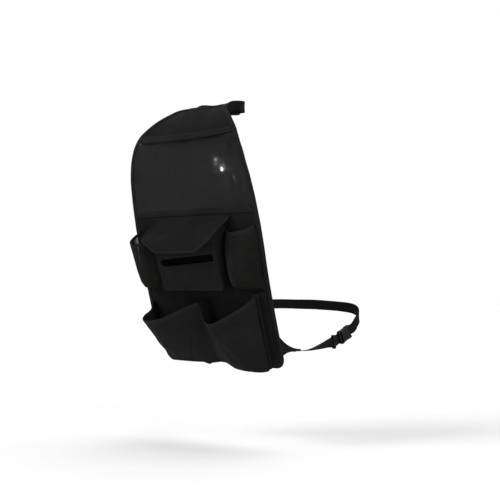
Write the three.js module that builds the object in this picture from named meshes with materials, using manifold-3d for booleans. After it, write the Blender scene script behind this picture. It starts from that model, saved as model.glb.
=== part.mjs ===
// Car seat back organizer: a cloth panel hung on the rear of a front seat.
// Millimetres, Z up, X to the viewer's right, the pockets face the viewer at -Y.
// The origin lies on the panel's rear face, on its centre line, in its flat middle stretch.
import * as THREE from 'three';
import { mergeVertices } from 'three/addons/utils/BufferGeometryUtils.js';
import Module from 'manifold-3d';

const wasm = await Module();
wasm.setup();

// Panel cloth
const PANEL_LENGTH = 664;
const PANEL_THICK = 2.4;
const ORIGIN_S = 245;
const TOP_CORNER_R = 12;
const BOTTOM_CORNER_R = 25;
// Lean of the seat back against the vertical, degrees, by distance down from the top edge
const LEAN = [[0, -64], [70, -31], [130, 4], [200, 13.5], [290, 13.5], [PANEL_LENGTH, 18.7]];
// Half width of the panel by distance down from the top edge
const HALF_WIDTH = [[0, 75], [25, 92], [55, 124], [90, 154.5], [117, 168], [150, 179.5], [200, 190],
  [255, 196], [320, 199.5], [370, 199.5], [430, 197.5], [PANEL_LENGTH, 195]];
// Rows of the panel: down from its top edge, shares of its middle stretch, up from its foot
const HEAD_ROWS = [0, 0.6, 2.4, 6, 12, 18, 25, 32, 40, 47, 55, 63, 72, 81, 90, 100, 110, 120, 130, 140, 150,
  162, 175, 187, 200];
const MIDDLE_ROWS = 14;
const FOOT_ROWS = [44, 25, 18, 11, 5.4, 1.8, 0.5, 0];

// Fits
const GAP = 0.3;
const SEWN = PANEL_THICK + GAP;

// Edge binding, folded over the panel's edge
const BIND_LIP = 9;
const BIND_THICK = 0.9;
const BIND_CLEAR = 0.4;
const INSET = BIND_LIP + 0.8;

// Clear pocket
const WINDOW_TOP = 90;
const WINDOW_SAG = 9;
const BAND_HEIGHT = 13;
const BAND_THICK = 1.6;
const WINDOW_BOTTOM = 289;
const WINDOW_STAND = 12;
const FILM_THICK = 0.8;
const TAPE_HEIGHT = 10;
const TAPE_THICK = 1;

// Lidded box pocket
const CLOTH = 1.5;
const BOX_HALF = 95;
const BOX_STAND = 57;
const BOX_FOOT_STAND = 46;
const BOX_BULGE = 3;
const BOX_FRONT_TOP = 323;
const BOX_REAR_TOP = 304;
const BOX_BOTTOM = PANEL_LENGTH - 202;
const BOX_CORNER_R = 9;
const SLOT_LENGTH = 170;
const SLOT_HEIGHT = 17;
const SLOT_S = BOX_FRONT_TOP + 66;
const SLOT_TILT = 4;

// Lid: inner side as distance down the panel and distance off its rear face
const LID_THICK = 1.8;
const LID_PATH = [[292.6, SEWN], [297, 4.8], [304, 18], [311, 34], [318, 52], [323.5, 64], [328.5, 73],
  [334, 78.4], [336, 79], [340, 80.1], [346, 81.4], [352, 82.7], [356, 83.5], [359, 84.1], [361.5, 84.5],
  [363, 84.8]];
const LID_HALF = [[292, 117], [328, 112.5], [334, 110.5], [336, 107.5], [340, 101], [356, 75], [359, 69.5],
  [361.5, 64], [363, 56]];
const LID_BIND_LIP = 5;
const LID_BIND_CLEAR = 0.85;
const LID_BIND_THICK = 0.7;

// Net pockets
const NET_IN = 100;
const NET_OUT = 185;
const NET_THICK = 1.6;
const NET_RIM_HEIGHT = 9;
const NET_RIM_THICK = 2.2;
const NET_BOTTOM = PANEL_LENGTH - 195;
const NET_COLUMNS = 12;
const NET_DEPTHS = [0, 0.12, 0.24, 0.36, 0.48, 0.6, 0.72, 0.83, 0.91, 0.965, 1];
// Rim line with its dip and tilt, and how far the pouch stands out by share of its height
const NET_FOOT_OFF = NET_THICK + 0.4;
const NET_POUCH = {
  right: { side: 1, rim: 321.5, tilt: -11, dip: 8,
    stand: [[0, 24], [0.18, 36], [0.36, 47], [0.6, 51], [0.8, 49], [0.9, 41], [0.96, 27],
      [1, NET_FOOT_OFF]] },
  left: { side: -1, rim: 323, tilt: 0, dip: 18,
    stand: [[0, 76], [0.3, 69], [0.6, 63], [0.8, 56], [0.9, 46], [0.96, 30], [1, NET_FOOT_OFF]] },
};

// Lower pockets: across, rim above the panel's foot, rim off, foot off, and across at the sewn foot
const LOWER_RIM = 10;
const LOWER_RIM_THICK = 2;
const SEAM_HALF_GAP = 0.2;
const SIDE_TRIM = 0.8 * CLOTH;
const DIVIDER_THICK = 1.4;
const LOWER_RIGHT = [
  [0.2, 168, 41, 11], [7, 157, 45, 12], [15, 142, 50, 14], [25, 128, 54, 18], [35, 125, 59, 22],
  [50, 126, 64, 29], [65, 130, 65, 36], [82, 136, 65, 42], [100, 143, 63, 46], [120, 152, 59, 48],
  [140, 161, 53, 48], [160, 172, 45, 44], [172, 180, 40, 40, 171], [178, 184, 35, 35, 174],
  [179, 185, 30, 30, 176.5], [168, 186, 20, 19, 179], [175, 186, 12, 11, 181.5],
  [183.8, 186, SEWN, SEWN],
];
const LOWER_LEFT = [
  [0.2, 170, 41, 11], [10, 168, 46, 11], [25, 164, 54, 12], [40, 159, 62, 12], [60, 152, 71, 13],
  [80, 145, 78, 13], [100, 140, 82, 14], [120, 137, 83, 15], [140, 135, 81, 15], [155, 134, 77, 13],
  [166, 134, 69, 11, 165], [174, 136, 59, 10, 169.5], [178, 138, 50, 9, 173.5], [168, 149, 32, 8, 177],
  [174, 158, 18, 6, 180.5], [183.8, 164, SEWN, SEWN],
];
// Foot of a lower pocket folding back: down, share of the hang, share of the way off
const FOOT_START = PANEL_LENGTH - 16;
const FOOT_FOLD = [[0, 0, 1], [2.2, 0.68, 0.92], [3.4, 1, 0.68], [3.9, 0.3, 0.38], [4.2, 0.05, 0.1],
  [4.6, 0, 0]];
// How far the foot hangs, by distance across
const FOOT_HANG = [[-180, 3], [-70, 2], [-24, 9], [-4, 1], [4, 1], [69, 9], [160, 9]];
const CORNER_IN = 150;

// Webbing and side-release buckles, lengths along the buckle from the socket's tail
const WEB_WIDTH = 25;
const WEB_THICK = 1.5;
const BUCKLE_WIDTH = 33;
const BUCKLE_THICK = 10;
const SOCKET_LENGTH = 33;
const PLUG_BASE = 11;
const PRONG_LENGTH = 20;
const TAIL_BAR = 4;
const WEB_SLOT = 4.5;
const SLOT_WIDTH = WEB_WIDTH + 1.4;
const BAR_THICK = 4.4;
const CAVITY_START = 12;
const CAVITY_WIDTH = 25;
const CAVITY_THICK = 5.8;
const CATCH_START = 15.5;
const CATCH_LENGTH = 11;
const PLUG_START = SOCKET_LENGTH + GAP;
const BUCKLE_LENGTH = PLUG_START + PLUG_BASE;
const WEB_OVER_BAR = BAR_THICK / 2 + GAP + WEB_THICK / 2;

// Seat strap: tabs at the panel's sides, the loop round the seat, the buckle on the viewer's right
const TAB_TOP = PANEL_LENGTH - 81;
const TAB_BOTTOM = PANEL_LENGTH - 27;
const TAB_THICK = 2;
const TAB_REACH = 14;
const LOOP_HALF = 237;
const LOOP_BACK = 404;
const LOOP_HEIGHT = -262;
const SEAT_BUCKLE_TAIL = [LOOP_HALF + 2.5, LOOP_BACK - 132, LOOP_HEIGHT - 78];
const SEAT_BUCKLE_END = [LOOP_HALF + 4, LOOP_BACK - 88, LOOP_HEIGHT - 59];
const KEEPER_AT = 0.42;
const KEEPER_WIDTH = 33;
const KEEPER_LENGTH = 7;
const KEEPER_THICK = 8;

// Headrest strap: a cross band behind the panel's top edge and two tails buckled behind the posts
const HEAD_BAND_HALF = 77;
const HEAD_BAND_ROWS = [-5, 0.6, 7.5, 14, 20];
const HEAD_BAND_OFF = -(BIND_CLEAR + BIND_THICK + GAP + WEB_THICK);
const HEAD_TAIL_OFF = HEAD_BAND_OFF - GAP - WEB_THICK / 2;
const HEAD_TAIL_X = 50;
const HEAD_BUCKLE_Y = 152;
const HEAD_BUCKLE_Z = 228;

// Colours
const CLOTH_COLOR = 0x1d1d1f;
const TRIM_COLOR = 0x141415;
const NET_COLOR = 0x1a1a1a;
const WEB_COLOR = 0x18181a;
const PLASTIC_COLOR = 0x101011;
const FILM_COLOR = 0xdfe4e6;

const radians = (deg) => deg * Math.PI / 180;
const mix = (a, b, t) => a + (b - a) * t;
const spread = (count) => Array.from({ length: count + 1 }, (_, i) => i / count);
const bell = (u) => 1 - (2 * u - 1) ** 4;

// Straight-line reading of a table of pairs
function sample(table, key) {
  if (key <= table[0][0]) return table[0][1];
  for (let i = 1; i < table.length; i += 1) {
    const [a, va] = table[i - 1];
    const [b, vb] = table[i];
    if (key <= b) return mix(va, vb, (key - a) / (b - a));
  }
  return table[table.length - 1][1];
}

// Side profile of the panel's rear face, one row per millimetre of cloth
function profileRows() {
  const rows = [];
  const first = -40;
  let y = 0;
  let z = 0;
  for (let s = first; s <= PANEL_LENGTH + 40; s += 1) {
    const lean = radians(sample(LEAN, s));
    if (s > first) {
      const before = radians(sample(LEAN, s - 1));
      y += (Math.sin(lean) + Math.sin(before)) / 2;
      z -= (Math.cos(lean) + Math.cos(before)) / 2;
    }
    rows.push([s, y, z]);
  }
  const zeroY = sample(rows.map(([s, py]) => [s, py]), ORIGIN_S);
  const zeroZ = sample(rows.map(([s, , pz]) => [s, pz]), ORIGIN_S);
  return rows.map(([s, py, pz]) => [s, py - zeroY, pz - zeroZ]);
}
const PROFILE = profileRows();
const PROFILE_Y = PROFILE.map(([s, y]) => [s, y]);
const PROFILE_Z = PROFILE.map(([s, , z]) => [s, z]);

// Point x across, s down the panel, off the rear face by the given distance
function drape(x, s, off) {
  const lean = radians(sample(LEAN, s));
  const y = sample(PROFILE_Y, s) - off * Math.cos(lean);
  const z = sample(PROFILE_Z, s) - off * Math.sin(lean);
  return new THREE.Vector3(x, y, z);
}

// Half width of a piece whose two lower corners are rounded
function footHalf(half, s, bottom, radius) {
  const into = s - (bottom - radius);
  if (into <= 0) return half;
  return half - radius + Math.sqrt(Math.max(0, radius * radius - into * into));
}

function panelHalf(s) {
  const half = footHalf(sample(HALF_WIDTH, s), s, PANEL_LENGTH, BOTTOM_CORNER_R);
  if (s >= TOP_CORNER_R) return half;
  const up = TOP_CORNER_R - s;
  return half - TOP_CORNER_R + Math.sqrt(Math.max(0, TOP_CORNER_R * TOP_CORNER_R - up * up));
}

// Half width inside the binding's lip, which is measured square to the slanting outline
function clothHalf(s) {
  const slope = Math.max(0, (panelHalf(s) - panelHalf(s - 9)) / 9);
  return panelHalf(s) - INSET * Math.hypot(1, slope);
}

// Closed body from corner points and triangles, turned so that its faces point outward
function body(points, triangles) {
  let volume = 0;
  for (const [a, b, c] of triangles) volume += points[a].dot(points[b].clone().cross(points[c])) / 6;
  const turned = volume < 0 ? triangles.map(([a, b, c]) => [a, c, b]) : triangles;
  const geometry = new THREE.BufferGeometry();
  const flat = points.flatMap((p) => [p.x, p.y, p.z]);
  geometry.setAttribute('position', new THREE.Float32BufferAttribute(flat, 3));
  geometry.setIndex(turned.flat());
  return finish(geometry);
}

function finish(geometry) {
  geometry.deleteAttribute('normal');
  geometry.deleteAttribute('uv');
  const merged = mergeVertices(geometry, 1e-4);
  merged.computeVertexNormals();
  return merged;
}

// Unit normals of a grid of points, columns across and rows down
function gridNormals(grid) {
  const last = grid.length - 1;
  const foot = grid[0].length - 1;
  return grid.map((column, i) => column.map((point, j) => {
    const across = grid[Math.min(i + 1, last)][j].clone().sub(grid[Math.max(i - 1, 0)][j]);
    const down = grid[i][Math.min(j + 1, foot)].clone().sub(grid[i][Math.max(j - 1, 0)]);
    return down.cross(across).normalize();
  }));
}

// Cloth of even thickness laid on a grid; trim may move an outer point of the first or last column
function cloth(grid, thick, trim) {
  const normals = gridNormals(grid);
  const columns = grid.length;
  const rows = grid[0].length;
  const outer = grid.map((column, i) => column.map((point, j) => {
    const moved = point.clone().addScaledVector(normals[i][j], thick);
    return trim ? trim(moved, point, i, j) : moved;
  }));
  const points = [...grid.flat(), ...outer.flat()];
  const inner = (i, j) => i * rows + j;
  const over = (i, j) => columns * rows + i * rows + j;
  const triangles = [];
  const quad = (a, b, c, d) => triangles.push([a, b, c], [a, c, d]);
  for (let i = 0; i + 1 < columns; i += 1) {
    for (let j = 0; j + 1 < rows; j += 1) {
      quad(over(i, j), over(i, j + 1), over(i + 1, j + 1), over(i + 1, j));
      quad(inner(i, j), inner(i + 1, j), inner(i + 1, j + 1), inner(i, j + 1));
    }
    quad(inner(i, 0), over(i, 0), over(i + 1, 0), inner(i + 1, 0));
    quad(inner(i, rows - 1), inner(i + 1, rows - 1), over(i + 1, rows - 1), over(i, rows - 1));
  }
  for (let j = 0; j + 1 < rows; j += 1) {
    quad(inner(0, j), inner(0, j + 1), over(0, j + 1), over(0, j));
    quad(inner(columns - 1, j), over(columns - 1, j), over(columns - 1, j + 1), inner(columns - 1, j + 1));
  }
  return body(points, triangles);
}

// Net of even thickness: one diamond gap in every cell of the grid
function net(grid, thick) {
  const normals = gridNormals(grid);
  const points = [];
  const triangles = [];
  const add = (point) => points.push(point) - 1;
  const columns = grid.length;
  const rows = grid[0].length;
  const at = grid.map((column) => column.map((point) => add(point.clone())));
  const over = grid.map((column, i) => column.map((point, j) => add(
    point.clone().addScaledVector(normals[i][j], thick))));
  const quad = (a, b, c, d) => triangles.push([a, b, c], [a, c, d]);
  const middle = (ring, share) => {
    const centre = new THREE.Vector3();
    for (const k of ring) centre.addScaledVector(points[k], 1 / 4);
    return ring.map((k, n) => {
      const edge = points[k].clone().add(points[ring[(n + 1) % 4]]).multiplyScalar(0.5);
      return add(edge.lerp(centre, share));
    });
  };
  for (let i = 0; i + 1 < columns; i += 1) {
    for (let j = 0; j + 1 < rows; j += 1) {
      const low = [at[i][j], at[i][j + 1], at[i + 1][j + 1], at[i + 1][j]];
      const high = [over[i][j], over[i][j + 1], over[i + 1][j + 1], over[i + 1][j]];
      const lowGap = middle(low, 0.3);
      const highGap = middle(high, 0.3);
      for (let k = 0; k < 4; k += 1) {
        const n = (k + 1) % 4;
        triangles.push([high[k], high[n], highGap[k]], [high[n], highGap[n], highGap[k]]);
        triangles.push([low[n], low[k], lowGap[k]], [lowGap[n], low[n], lowGap[k]]);
        quad(lowGap[k], highGap[k], highGap[n], lowGap[n]);
      }
    }
    quad(at[i][0], over[i][0], over[i + 1][0], at[i + 1][0]);
    quad(at[i][rows - 1], at[i + 1][rows - 1], over[i + 1][rows - 1], over[i][rows - 1]);
  }
  for (let j = 0; j + 1 < rows; j += 1) {
    quad(at[0][j], at[0][j + 1], over[0][j + 1], over[0][j]);
    quad(at[columns - 1][j], over[columns - 1][j], over[columns - 1][j + 1], at[columns - 1][j + 1]);
  }
  return body(points, triangles);
}

// Body through a row of equal sections, each drawn to the left; an open row gets flat caps
function loft(rings, section, closed) {
  const size = section.length;
  const points = rings.flat();
  const triangles = [];
  const last = closed ? rings.length : rings.length - 1;
  for (let i = 0; i < last; i += 1) {
    const a = i * size;
    const b = ((i + 1) % rings.length) * size;
    for (let k = 0; k < size; k += 1) {
      const n = (k + 1) % size;
      triangles.push([a + k, b + k, b + n], [a + k, b + n, a + n]);
    }
  }
  if (!closed) {
    const corners = section.map(([u, v]) => new THREE.Vector2(u, v));
    const faces = THREE.ShapeUtils.triangulateShape(corners, []);
    const end = (rings.length - 1) * size;
    for (const [a, b, c] of faces) triangles.push([a, b, c], [end + a, end + c, end + b]);
  }
  return body(points, triangles);
}

// Sections of a folded edging, laid along an outline in flat cloth
function edging(outline, section, place, closed) {
  const count = outline.length;
  const rings = outline.map(([x, s], i) => {
    const before = outline[closed ? (i + count - 1) % count : Math.max(i - 1, 0)];
    const after = outline[closed ? (i + 1) % count : Math.min(i + 1, count - 1)];
    const length = Math.hypot(after[0] - before[0], after[1] - before[1]);
    const out = [-(after[1] - before[1]) / length, (after[0] - before[0]) / length];
    return section.map(([e, off]) => place(x + out[0] * e, s + out[1] * e, off));
  });
  return loft(rings, section, closed);
}

// Channel section that wraps an edge of the given thickness
function channel(lip, thick, clear, inside) {
  const low = -clear - thick;
  const high = inside + clear + thick;
  return [[-lip, low], [clear + thick, low], [clear + thick, high], [-lip, high],
    [-lip, inside + clear], [clear, inside + clear], [clear, -clear], [-lip, -clear]];
}

const parts = new THREE.Group();
parts.name = 'seat_back_organizer';

function addPart(name, geometry, color, roughness) {
  const material = new THREE.MeshStandardMaterial({ color, roughness, metalness: 0 });
  material.name = name;
  const mesh = new THREE.Mesh(geometry, material);
  mesh.name = name;
  parts.add(mesh);
  return mesh;
}

// Back panel, an odd number of columns so that the middle one holds the origin
function backPanel() {
  const columns = spread(15);
  const grid = columns.map((u) => PANEL_ROWS.map((s) => drape((2 * u - 1) * panelHalf(s), s, 0)));
  return cloth(grid, PANEL_THICK);
}

function panelRows() {
  const start = HEAD_ROWS[HEAD_ROWS.length - 1];
  const end = PANEL_LENGTH - FOOT_ROWS[0];
  const middle = spread(MIDDLE_ROWS).slice(1, -1).map((t) => mix(start, end, t));
  return [...HEAD_ROWS, ...middle, ...FOOT_ROWS.map((up) => PANEL_LENGTH - up)];
}
const PANEL_ROWS = panelRows();

function panelOutline() {
  const right = PANEL_ROWS.map((s) => [panelHalf(s), s]);
  const left = [...PANEL_ROWS].reverse().map((s) => [-panelHalf(s), s]);
  const run = (half) => [0.6, 0.2, -0.2, -0.6].map((k) => k * half);
  const foot = run(panelHalf(PANEL_LENGTH)).map((x) => [x, PANEL_LENGTH]);
  const head = run(panelHalf(0)).map((x) => [-x, 0]);
  return [...right, ...foot, ...left, ...head].reverse();
}

addPart('back_panel', backPanel(), CLOTH_COLOR, 0.85);
const PANEL_CHANNEL = channel(BIND_LIP, BIND_THICK, BIND_CLEAR, PANEL_THICK);
addPart('edge_binding', edging(panelOutline(), PANEL_CHANNEL, drape, true), TRIM_COLOR, 0.8);

// Clear pocket: film under a cloth band along its open top, a tape over its sewn foot
function windowStand(s) {
  const fall = (s - WINDOW_TOP) / (WINDOW_BOTTOM - WINDOW_TOP);
  return WINDOW_STAND * (1 - Math.max(0, fall) ** 2);
}

function windowPoint(u, s, off) {
  const half = clothHalf(s);
  return drape((2 * u - 1) * half, s, SEWN + off + windowStand(s) * bell(u));
}

const WINDOW_COLUMNS = spread(14);
const windowTop = (u) => WINDOW_TOP + WINDOW_SAG * bell(u);

function windowBand() {
  const downs = [0, 0.5, 1];
  const grid = WINDOW_COLUMNS.map((u) => downs.map((t) => windowPoint(u, windowTop(u) + BAND_HEIGHT * t, 0)));
  return cloth(grid, BAND_THICK);
}

function windowFilm() {
  const downs = spread(18);
  const grid = WINDOW_COLUMNS.map((u) => downs.map((t) => {
    const top = windowTop(u) + BAND_HEIGHT + GAP;
    return windowPoint(u, mix(top, WINDOW_BOTTOM, t), 0);
  }));
  return cloth(grid, FILM_THICK);
}

function windowTape() {
  const rows = [WINDOW_BOTTOM - TAPE_HEIGHT, WINDOW_BOTTOM - TAPE_HEIGHT / 2, WINDOW_BOTTOM];
  const grid = WINDOW_COLUMNS.map((u) => rows.map((s) => windowPoint(u, s, FILM_THICK + GAP)));
  return cloth(grid, TAPE_THICK);
}

// Box pocket: bent side and bottom strip, front with a slot, lid hinged above
function boxStand(s) {
  return mix(BOX_STAND, BOX_FOOT_STAND, (s - BOX_FRONT_TOP) / (BOX_BOTTOM - BOX_FRONT_TOP));
}

function boxGusset() {
  const section = [[0, 0], [CLOTH, 0], [CLOTH, 1], [0, 1]];
  const turn = BOX_BOTTOM - BOX_CORNER_R;
  const side = [0, 0.2, 0.4, 0.6, 0.8, 1];
  const ring = (x, s, nx, ns, slant) => section.map(([e, t]) => {
    const off = mix(SEWN, boxStand(s) - GAP, t);
    const shift = slant * mix(BOX_REAR_TOP - BOX_FRONT_TOP, 0, t);
    return drape(x + nx * e, s + ns * e + shift, off);
  });
  const rings = side.map((t) => ring(-BOX_HALF, mix(BOX_FRONT_TOP, turn, t), -1, 0, 1 - t));
  for (const deg of [22.5, 45, 67.5, 90]) {
    const [c, n] = [Math.cos(radians(deg)), Math.sin(radians(deg))];
    rings.push(ring(-BOX_HALF + BOX_CORNER_R * (1 - c), turn + BOX_CORNER_R * n, -c, n, 0));
  }
  const right = [...rings].reverse().map((points) => points.map((p) => new THREE.Vector3(-p.x, p.y, p.z)));
  return loft([...rings, ...right], section, false);
}

function boxFrontSheet() {
  const downs = [0, 0.15, 0.3, 0.45, 0.6, 0.75, 0.88, 0.945, 0.965, 0.982, 0.994, 1];
  const bottom = BOX_BOTTOM + CLOTH;
  const grid = spread(12).map((u) => downs.map((t) => {
    const s = mix(BOX_FRONT_TOP, bottom, t);
    const half = footHalf(BOX_HALF + CLOTH, s, bottom, BOX_CORNER_R + CLOTH);
    return drape((2 * u - 1) * half, s, boxStand(s) + BOX_BULGE * bell(u) * Math.sin(Math.PI * t));
  }));
  return cloth(grid, CLOTH);
}

function slotCutter() {
  const half = SLOT_LENGTH / 2;
  const r = SLOT_HEIGHT / 2 - 0.5;
  const shape = new THREE.Shape();
  shape.moveTo(-half + r, -SLOT_HEIGHT / 2);
  shape.lineTo(half - r, -SLOT_HEIGHT / 2);
  shape.absarc(half - r, 0, SLOT_HEIGHT / 2, -Math.PI / 2, Math.PI / 2, false);
  shape.lineTo(-half + r, SLOT_HEIGHT / 2);
  shape.absarc(-half + r, 0, SLOT_HEIGHT / 2, Math.PI / 2, Math.PI * 1.5, false);
  const cutter = new THREE.ExtrudeGeometry(shape, { depth: 40, bevelEnabled: false, curveSegments: 8 });
  cutter.translate(0, 0, -20);
  cutter.rotateZ(radians(SLOT_TILT));
  const lean = radians(sample(LEAN, SLOT_S));
  cutter.rotateX(Math.PI / 2 + lean);
  const centre = drape(0, SLOT_S, boxStand(SLOT_S));
  cutter.translate(centre.x, centre.y, centre.z);
  return finish(cutter);
}

function toManifold(geometry) {
  return new wasm.Manifold(new wasm.Mesh({
    numProp: 3,
    vertProperties: new Float32Array(geometry.attributes.position.array),
    triVerts: new Uint32Array(geometry.index.array),
  }));
}

function fromManifold(solid) {
  const mesh = solid.getMesh();
  const geometry = new THREE.BufferGeometry();
  geometry.setAttribute('position', new THREE.Float32BufferAttribute(Array.from(mesh.vertProperties), 3));
  geometry.setIndex(Array.from(mesh.triVerts));
  return finish(geometry);
}

const subtract = (a, b) => fromManifold(toManifold(a).subtract(toManifold(b)));
const join = (list) => fromManifold(list.map(toManifold).reduce((sum, next) => sum.add(next)));

// Lid: rows of the inner side with the running length of cloth and the outward direction
function lidRows() {
  let run = 0;
  return LID_PATH.map(([s, off], i) => {
    const before = LID_PATH[Math.max(i - 1, 0)];
    const after = LID_PATH[Math.min(i + 1, LID_PATH.length - 1)];
    if (i > 0) run += Math.hypot(s - before[0], off - before[1]);
    const length = Math.hypot(after[0] - before[0], after[1] - before[1]);
    return { s, off, run, ns: -(after[1] - before[1]) / length, noff: (after[0] - before[0]) / length };
  });
}
const LID_ROWS = lidRows();

function lidPoint(x, run, height) {
  const column = (key) => sample(LID_ROWS.map((row) => [row.run, row[key]]), run);
  return drape(x, column('s') + column('ns') * height, column('off') + column('noff') * height);
}

function lid() {
  const columns = spread(12);
  const inner = columns.map((u) => LID_ROWS.map((row) => (
    lidPoint((2 * u - 1) * sample(LID_HALF, row.s), row.run, 0))));
  const outer = columns.map((u) => LID_ROWS.map((row) => (
    lidPoint((2 * u - 1) * sample(LID_HALF, row.s), row.run, LID_THICK))));
  return cloth(inner, LID_THICK, (moved, point, i, j) => outer[i][j]);
}

function lidBinding() {
  const edge = LID_ROWS.slice(1).map((row) => [sample(LID_HALF, row.s), row.run]);
  const foot = edge[edge.length - 1];
  const left = edge.map(([x, run]) => [-x, run]);
  const across = [-0.5, 0, 0.5].map((k) => [k * foot[0], foot[1]]);
  const outline = [...left, ...across, ...edge.reverse()];
  const section = channel(LID_BIND_LIP, LID_BIND_THICK, LID_BIND_CLEAR, LID_THICK);
  return edging(outline, section, lidPoint, false);
}

// Net pockets: bulging pouches, open at the top
function netPoint(pouch, u, from, t, thick) {
  const turn = Math.PI * u;
  const top = pouch.rim + pouch.tilt * (u - 0.5) + pouch.dip * Math.sin(turn) + from;
  const s = mix(top, NET_BOTTOM, t);
  const share = (s - pouch.rim) / (NET_BOTTOM - pouch.rim);
  const half = (NET_OUT - NET_IN) / 2;
  const x = pouch.side * (NET_OUT + NET_IN) / 2 - (half - thick) * Math.cos(turn);
  const off = SEWN + Math.max(0.2, sample(pouch.stand, share) - thick) * Math.sin(turn);
  return drape(x, s, off);
}

function netPocket(pouch) {
  const from = NET_RIM_HEIGHT + GAP;
  const grid = spread(NET_COLUMNS).map((u) => NET_DEPTHS.map((t) => netPoint(pouch, u, from, t, NET_THICK)));
  return net(grid, NET_THICK);
}

function netRim(pouch) {
  const downs = [0, NET_RIM_HEIGHT / 2, NET_RIM_HEIGHT];
  const grid = spread(NET_COLUMNS).map((u) => (
    downs.map((down) => netPoint(pouch, u, down, 0, NET_RIM_THICK))));
  return cloth(grid, NET_RIM_THICK);
}

// Lower pockets: each column falls straight to the foot and folds back to the panel
function lowerPoint(row, s) {
  const [x, rim, rimOff, footOff] = row;
  return drape(x, s, mix(rimOff, footOff, (s - rim) / (FOOT_START - rim)));
}

// The outer columns draw in beside the panel's rounded corner
function cornerIn(x, s) {
  if (Math.abs(x) <= CORNER_IN) return x;
  const radius = BOTTOM_CORNER_R - INSET - CLOTH - GAP;
  const centre = sample(HALF_WIDTH, PANEL_LENGTH) - BOTTOM_CORNER_R;
  const into = Math.max(0, s - (PANEL_LENGTH - BOTTOM_CORNER_R));
  const limit = centre + Math.sqrt(Math.max(0, radius * radius - into * into));
  const widest = LOWER_RIGHT[LOWER_RIGHT.length - 1][0];
  const share = Math.min(1, (limit - CORNER_IN) / (widest - CORNER_IN));
  return Math.sign(x) * mix(CORNER_IN, Math.abs(x), share);
}

function lowerColumn(row) {
  const [x, rim, , footOff, footX] = row;
  const hang = sample(FOOT_HANG, x) * Math.min(1, (footOff - SEWN) / 8);
  const top = rim + LOWER_RIM + GAP;
  const straight = [0, 0.2, 0.4, 0.6, 0.8, 0.95].map((t) => lowerPoint(row, mix(top, FOOT_START, t)));
  const fold = FOOT_FOLD.map(([down, drop, share]) => {
    const s = FOOT_START + down;
    return drape(cornerIn(mix(footX, x, share), s), s + drop * hang, mix(SEWN, footOff, share));
  });
  return [...straight, ...fold];
}

function lowerRows(table, side) {
  const rows = table.map(([x, up, rimOff, footOff, footX = x]) => (
    [x * side, PANEL_LENGTH - up, rimOff, footOff, footX * side]));
  return side > 0 ? rows : rows.reverse();
}

// The outer side keeps to its own half of the centre seam
function seamTrim(side, columns, rows) {
  const seam = side > 0 ? 0 : columns - 1;
  const down = drape(0, FOOT_START + CLOTH, 0).sub(drape(0, FOOT_START, 0));
  return (moved, point, i, j) => {
    const outer = j >= rows - 2 ? point.clone().add(down) : moved;
    if (i === seam) outer.setX(side * SEAM_HALF_GAP);
    if (i === columns - 1 - seam) outer.copy(point).setX(point.x + side * SIDE_TRIM);
    return outer;
  };
}

function lowerPocket(table, side) {
  const grid = lowerRows(table, side).map(lowerColumn);
  return cloth(grid, CLOTH, seamTrim(side, grid.length, grid[0].length));
}

function lowerRim(table, side) {
  const downs = [0, LOWER_RIM / 2, LOWER_RIM];
  const grid = lowerRows(table, side).map((row) => downs.map((down) => lowerPoint(row, row[1] + down)));
  return cloth(grid, LOWER_RIM_THICK, seamTrim(side, grid.length, Infinity));
}

function lowerDivider() {
  const [, up, rimOff, footOff] = LOWER_RIGHT[0];
  const half = DIVIDER_THICK / 2;
  const section = [[-half, 0], [half, 0], [half, 1], [-half, 1]];
  const rings = [0.01, 0.2, 0.4, 0.6, 0.8, 0.99].map((t) => section.map(([x, k]) => {
    const front = mix(rimOff, footOff, t) - 2 * GAP;
    return drape(x, mix(PANEL_LENGTH - up, FOOT_START, t), mix(SEWN, front, k));
  }));
  return loft(rings, section, false);
}

// Flat webbing along a smooth path; roll turns its width away from the upright, degrees
const UP = new THREE.Vector3(0, 0, 1);
function webbing(path, rolls, count, upAt = () => UP) {
  const curve = new THREE.CatmullRomCurve3(path, false, 'centripetal');
  const [a, b] = [WEB_WIDTH / 2, WEB_THICK / 2];
  const section = [[-a, -b], [a, -b], [a, b], [-a, b]];
  const rings = spread(count).map((t) => {
    const centre = curve.getPoint(t);
    const along = curve.getTangent(t);
    const up = upAt(t);
    const upright = up.clone().addScaledVector(along, -up.dot(along)).normalize();
    const side = along.clone().cross(upright);
    const roll = radians(sample(rolls, t));
    const across = upright.clone().multiplyScalar(Math.cos(roll)).addScaledVector(side, Math.sin(roll));
    const face = along.clone().cross(across);
    return section.map(([u, v]) => centre.clone().addScaledVector(across, u).addScaledVector(face, v));
  });
  return loft(rings, section, false);
}

// Side-release buckle: length along Y from the socket's tail to the plug's end
function block(width, length, thick, x, y, z) {
  const geometry = new THREE.BoxGeometry(width, length, thick);
  geometry.translate(x, y + length / 2, z);
  return finish(geometry);
}

function plate(outline, thick, bevel) {
  const shape = new THREE.Shape(outline.map(([x, y]) => new THREE.Vector2(x, y)));
  const flat = thick - 2 * bevel;
  const geometry = new THREE.ExtrudeGeometry(shape, {
    depth: flat, bevelEnabled: bevel > 0, bevelThickness: bevel, bevelSize: bevel, bevelOffset: -bevel,
    bevelSegments: 2, curveSegments: 6,
  });
  geometry.translate(0, 0, -flat / 2);
  return finish(geometry);
}

// Recess above and below a bar at the webbing end
function barRecess(start) {
  const depth = (BUCKLE_THICK - BAR_THICK) / 2 + 1;
  const z = BAR_THICK / 2 + depth / 2;
  const reach = TAIL_BAR + WEB_SLOT + 1;
  return [block(SLOT_WIDTH, reach, depth, 0, start, z), block(SLOT_WIDTH, reach, depth, 0, start, -z)];
}

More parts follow.
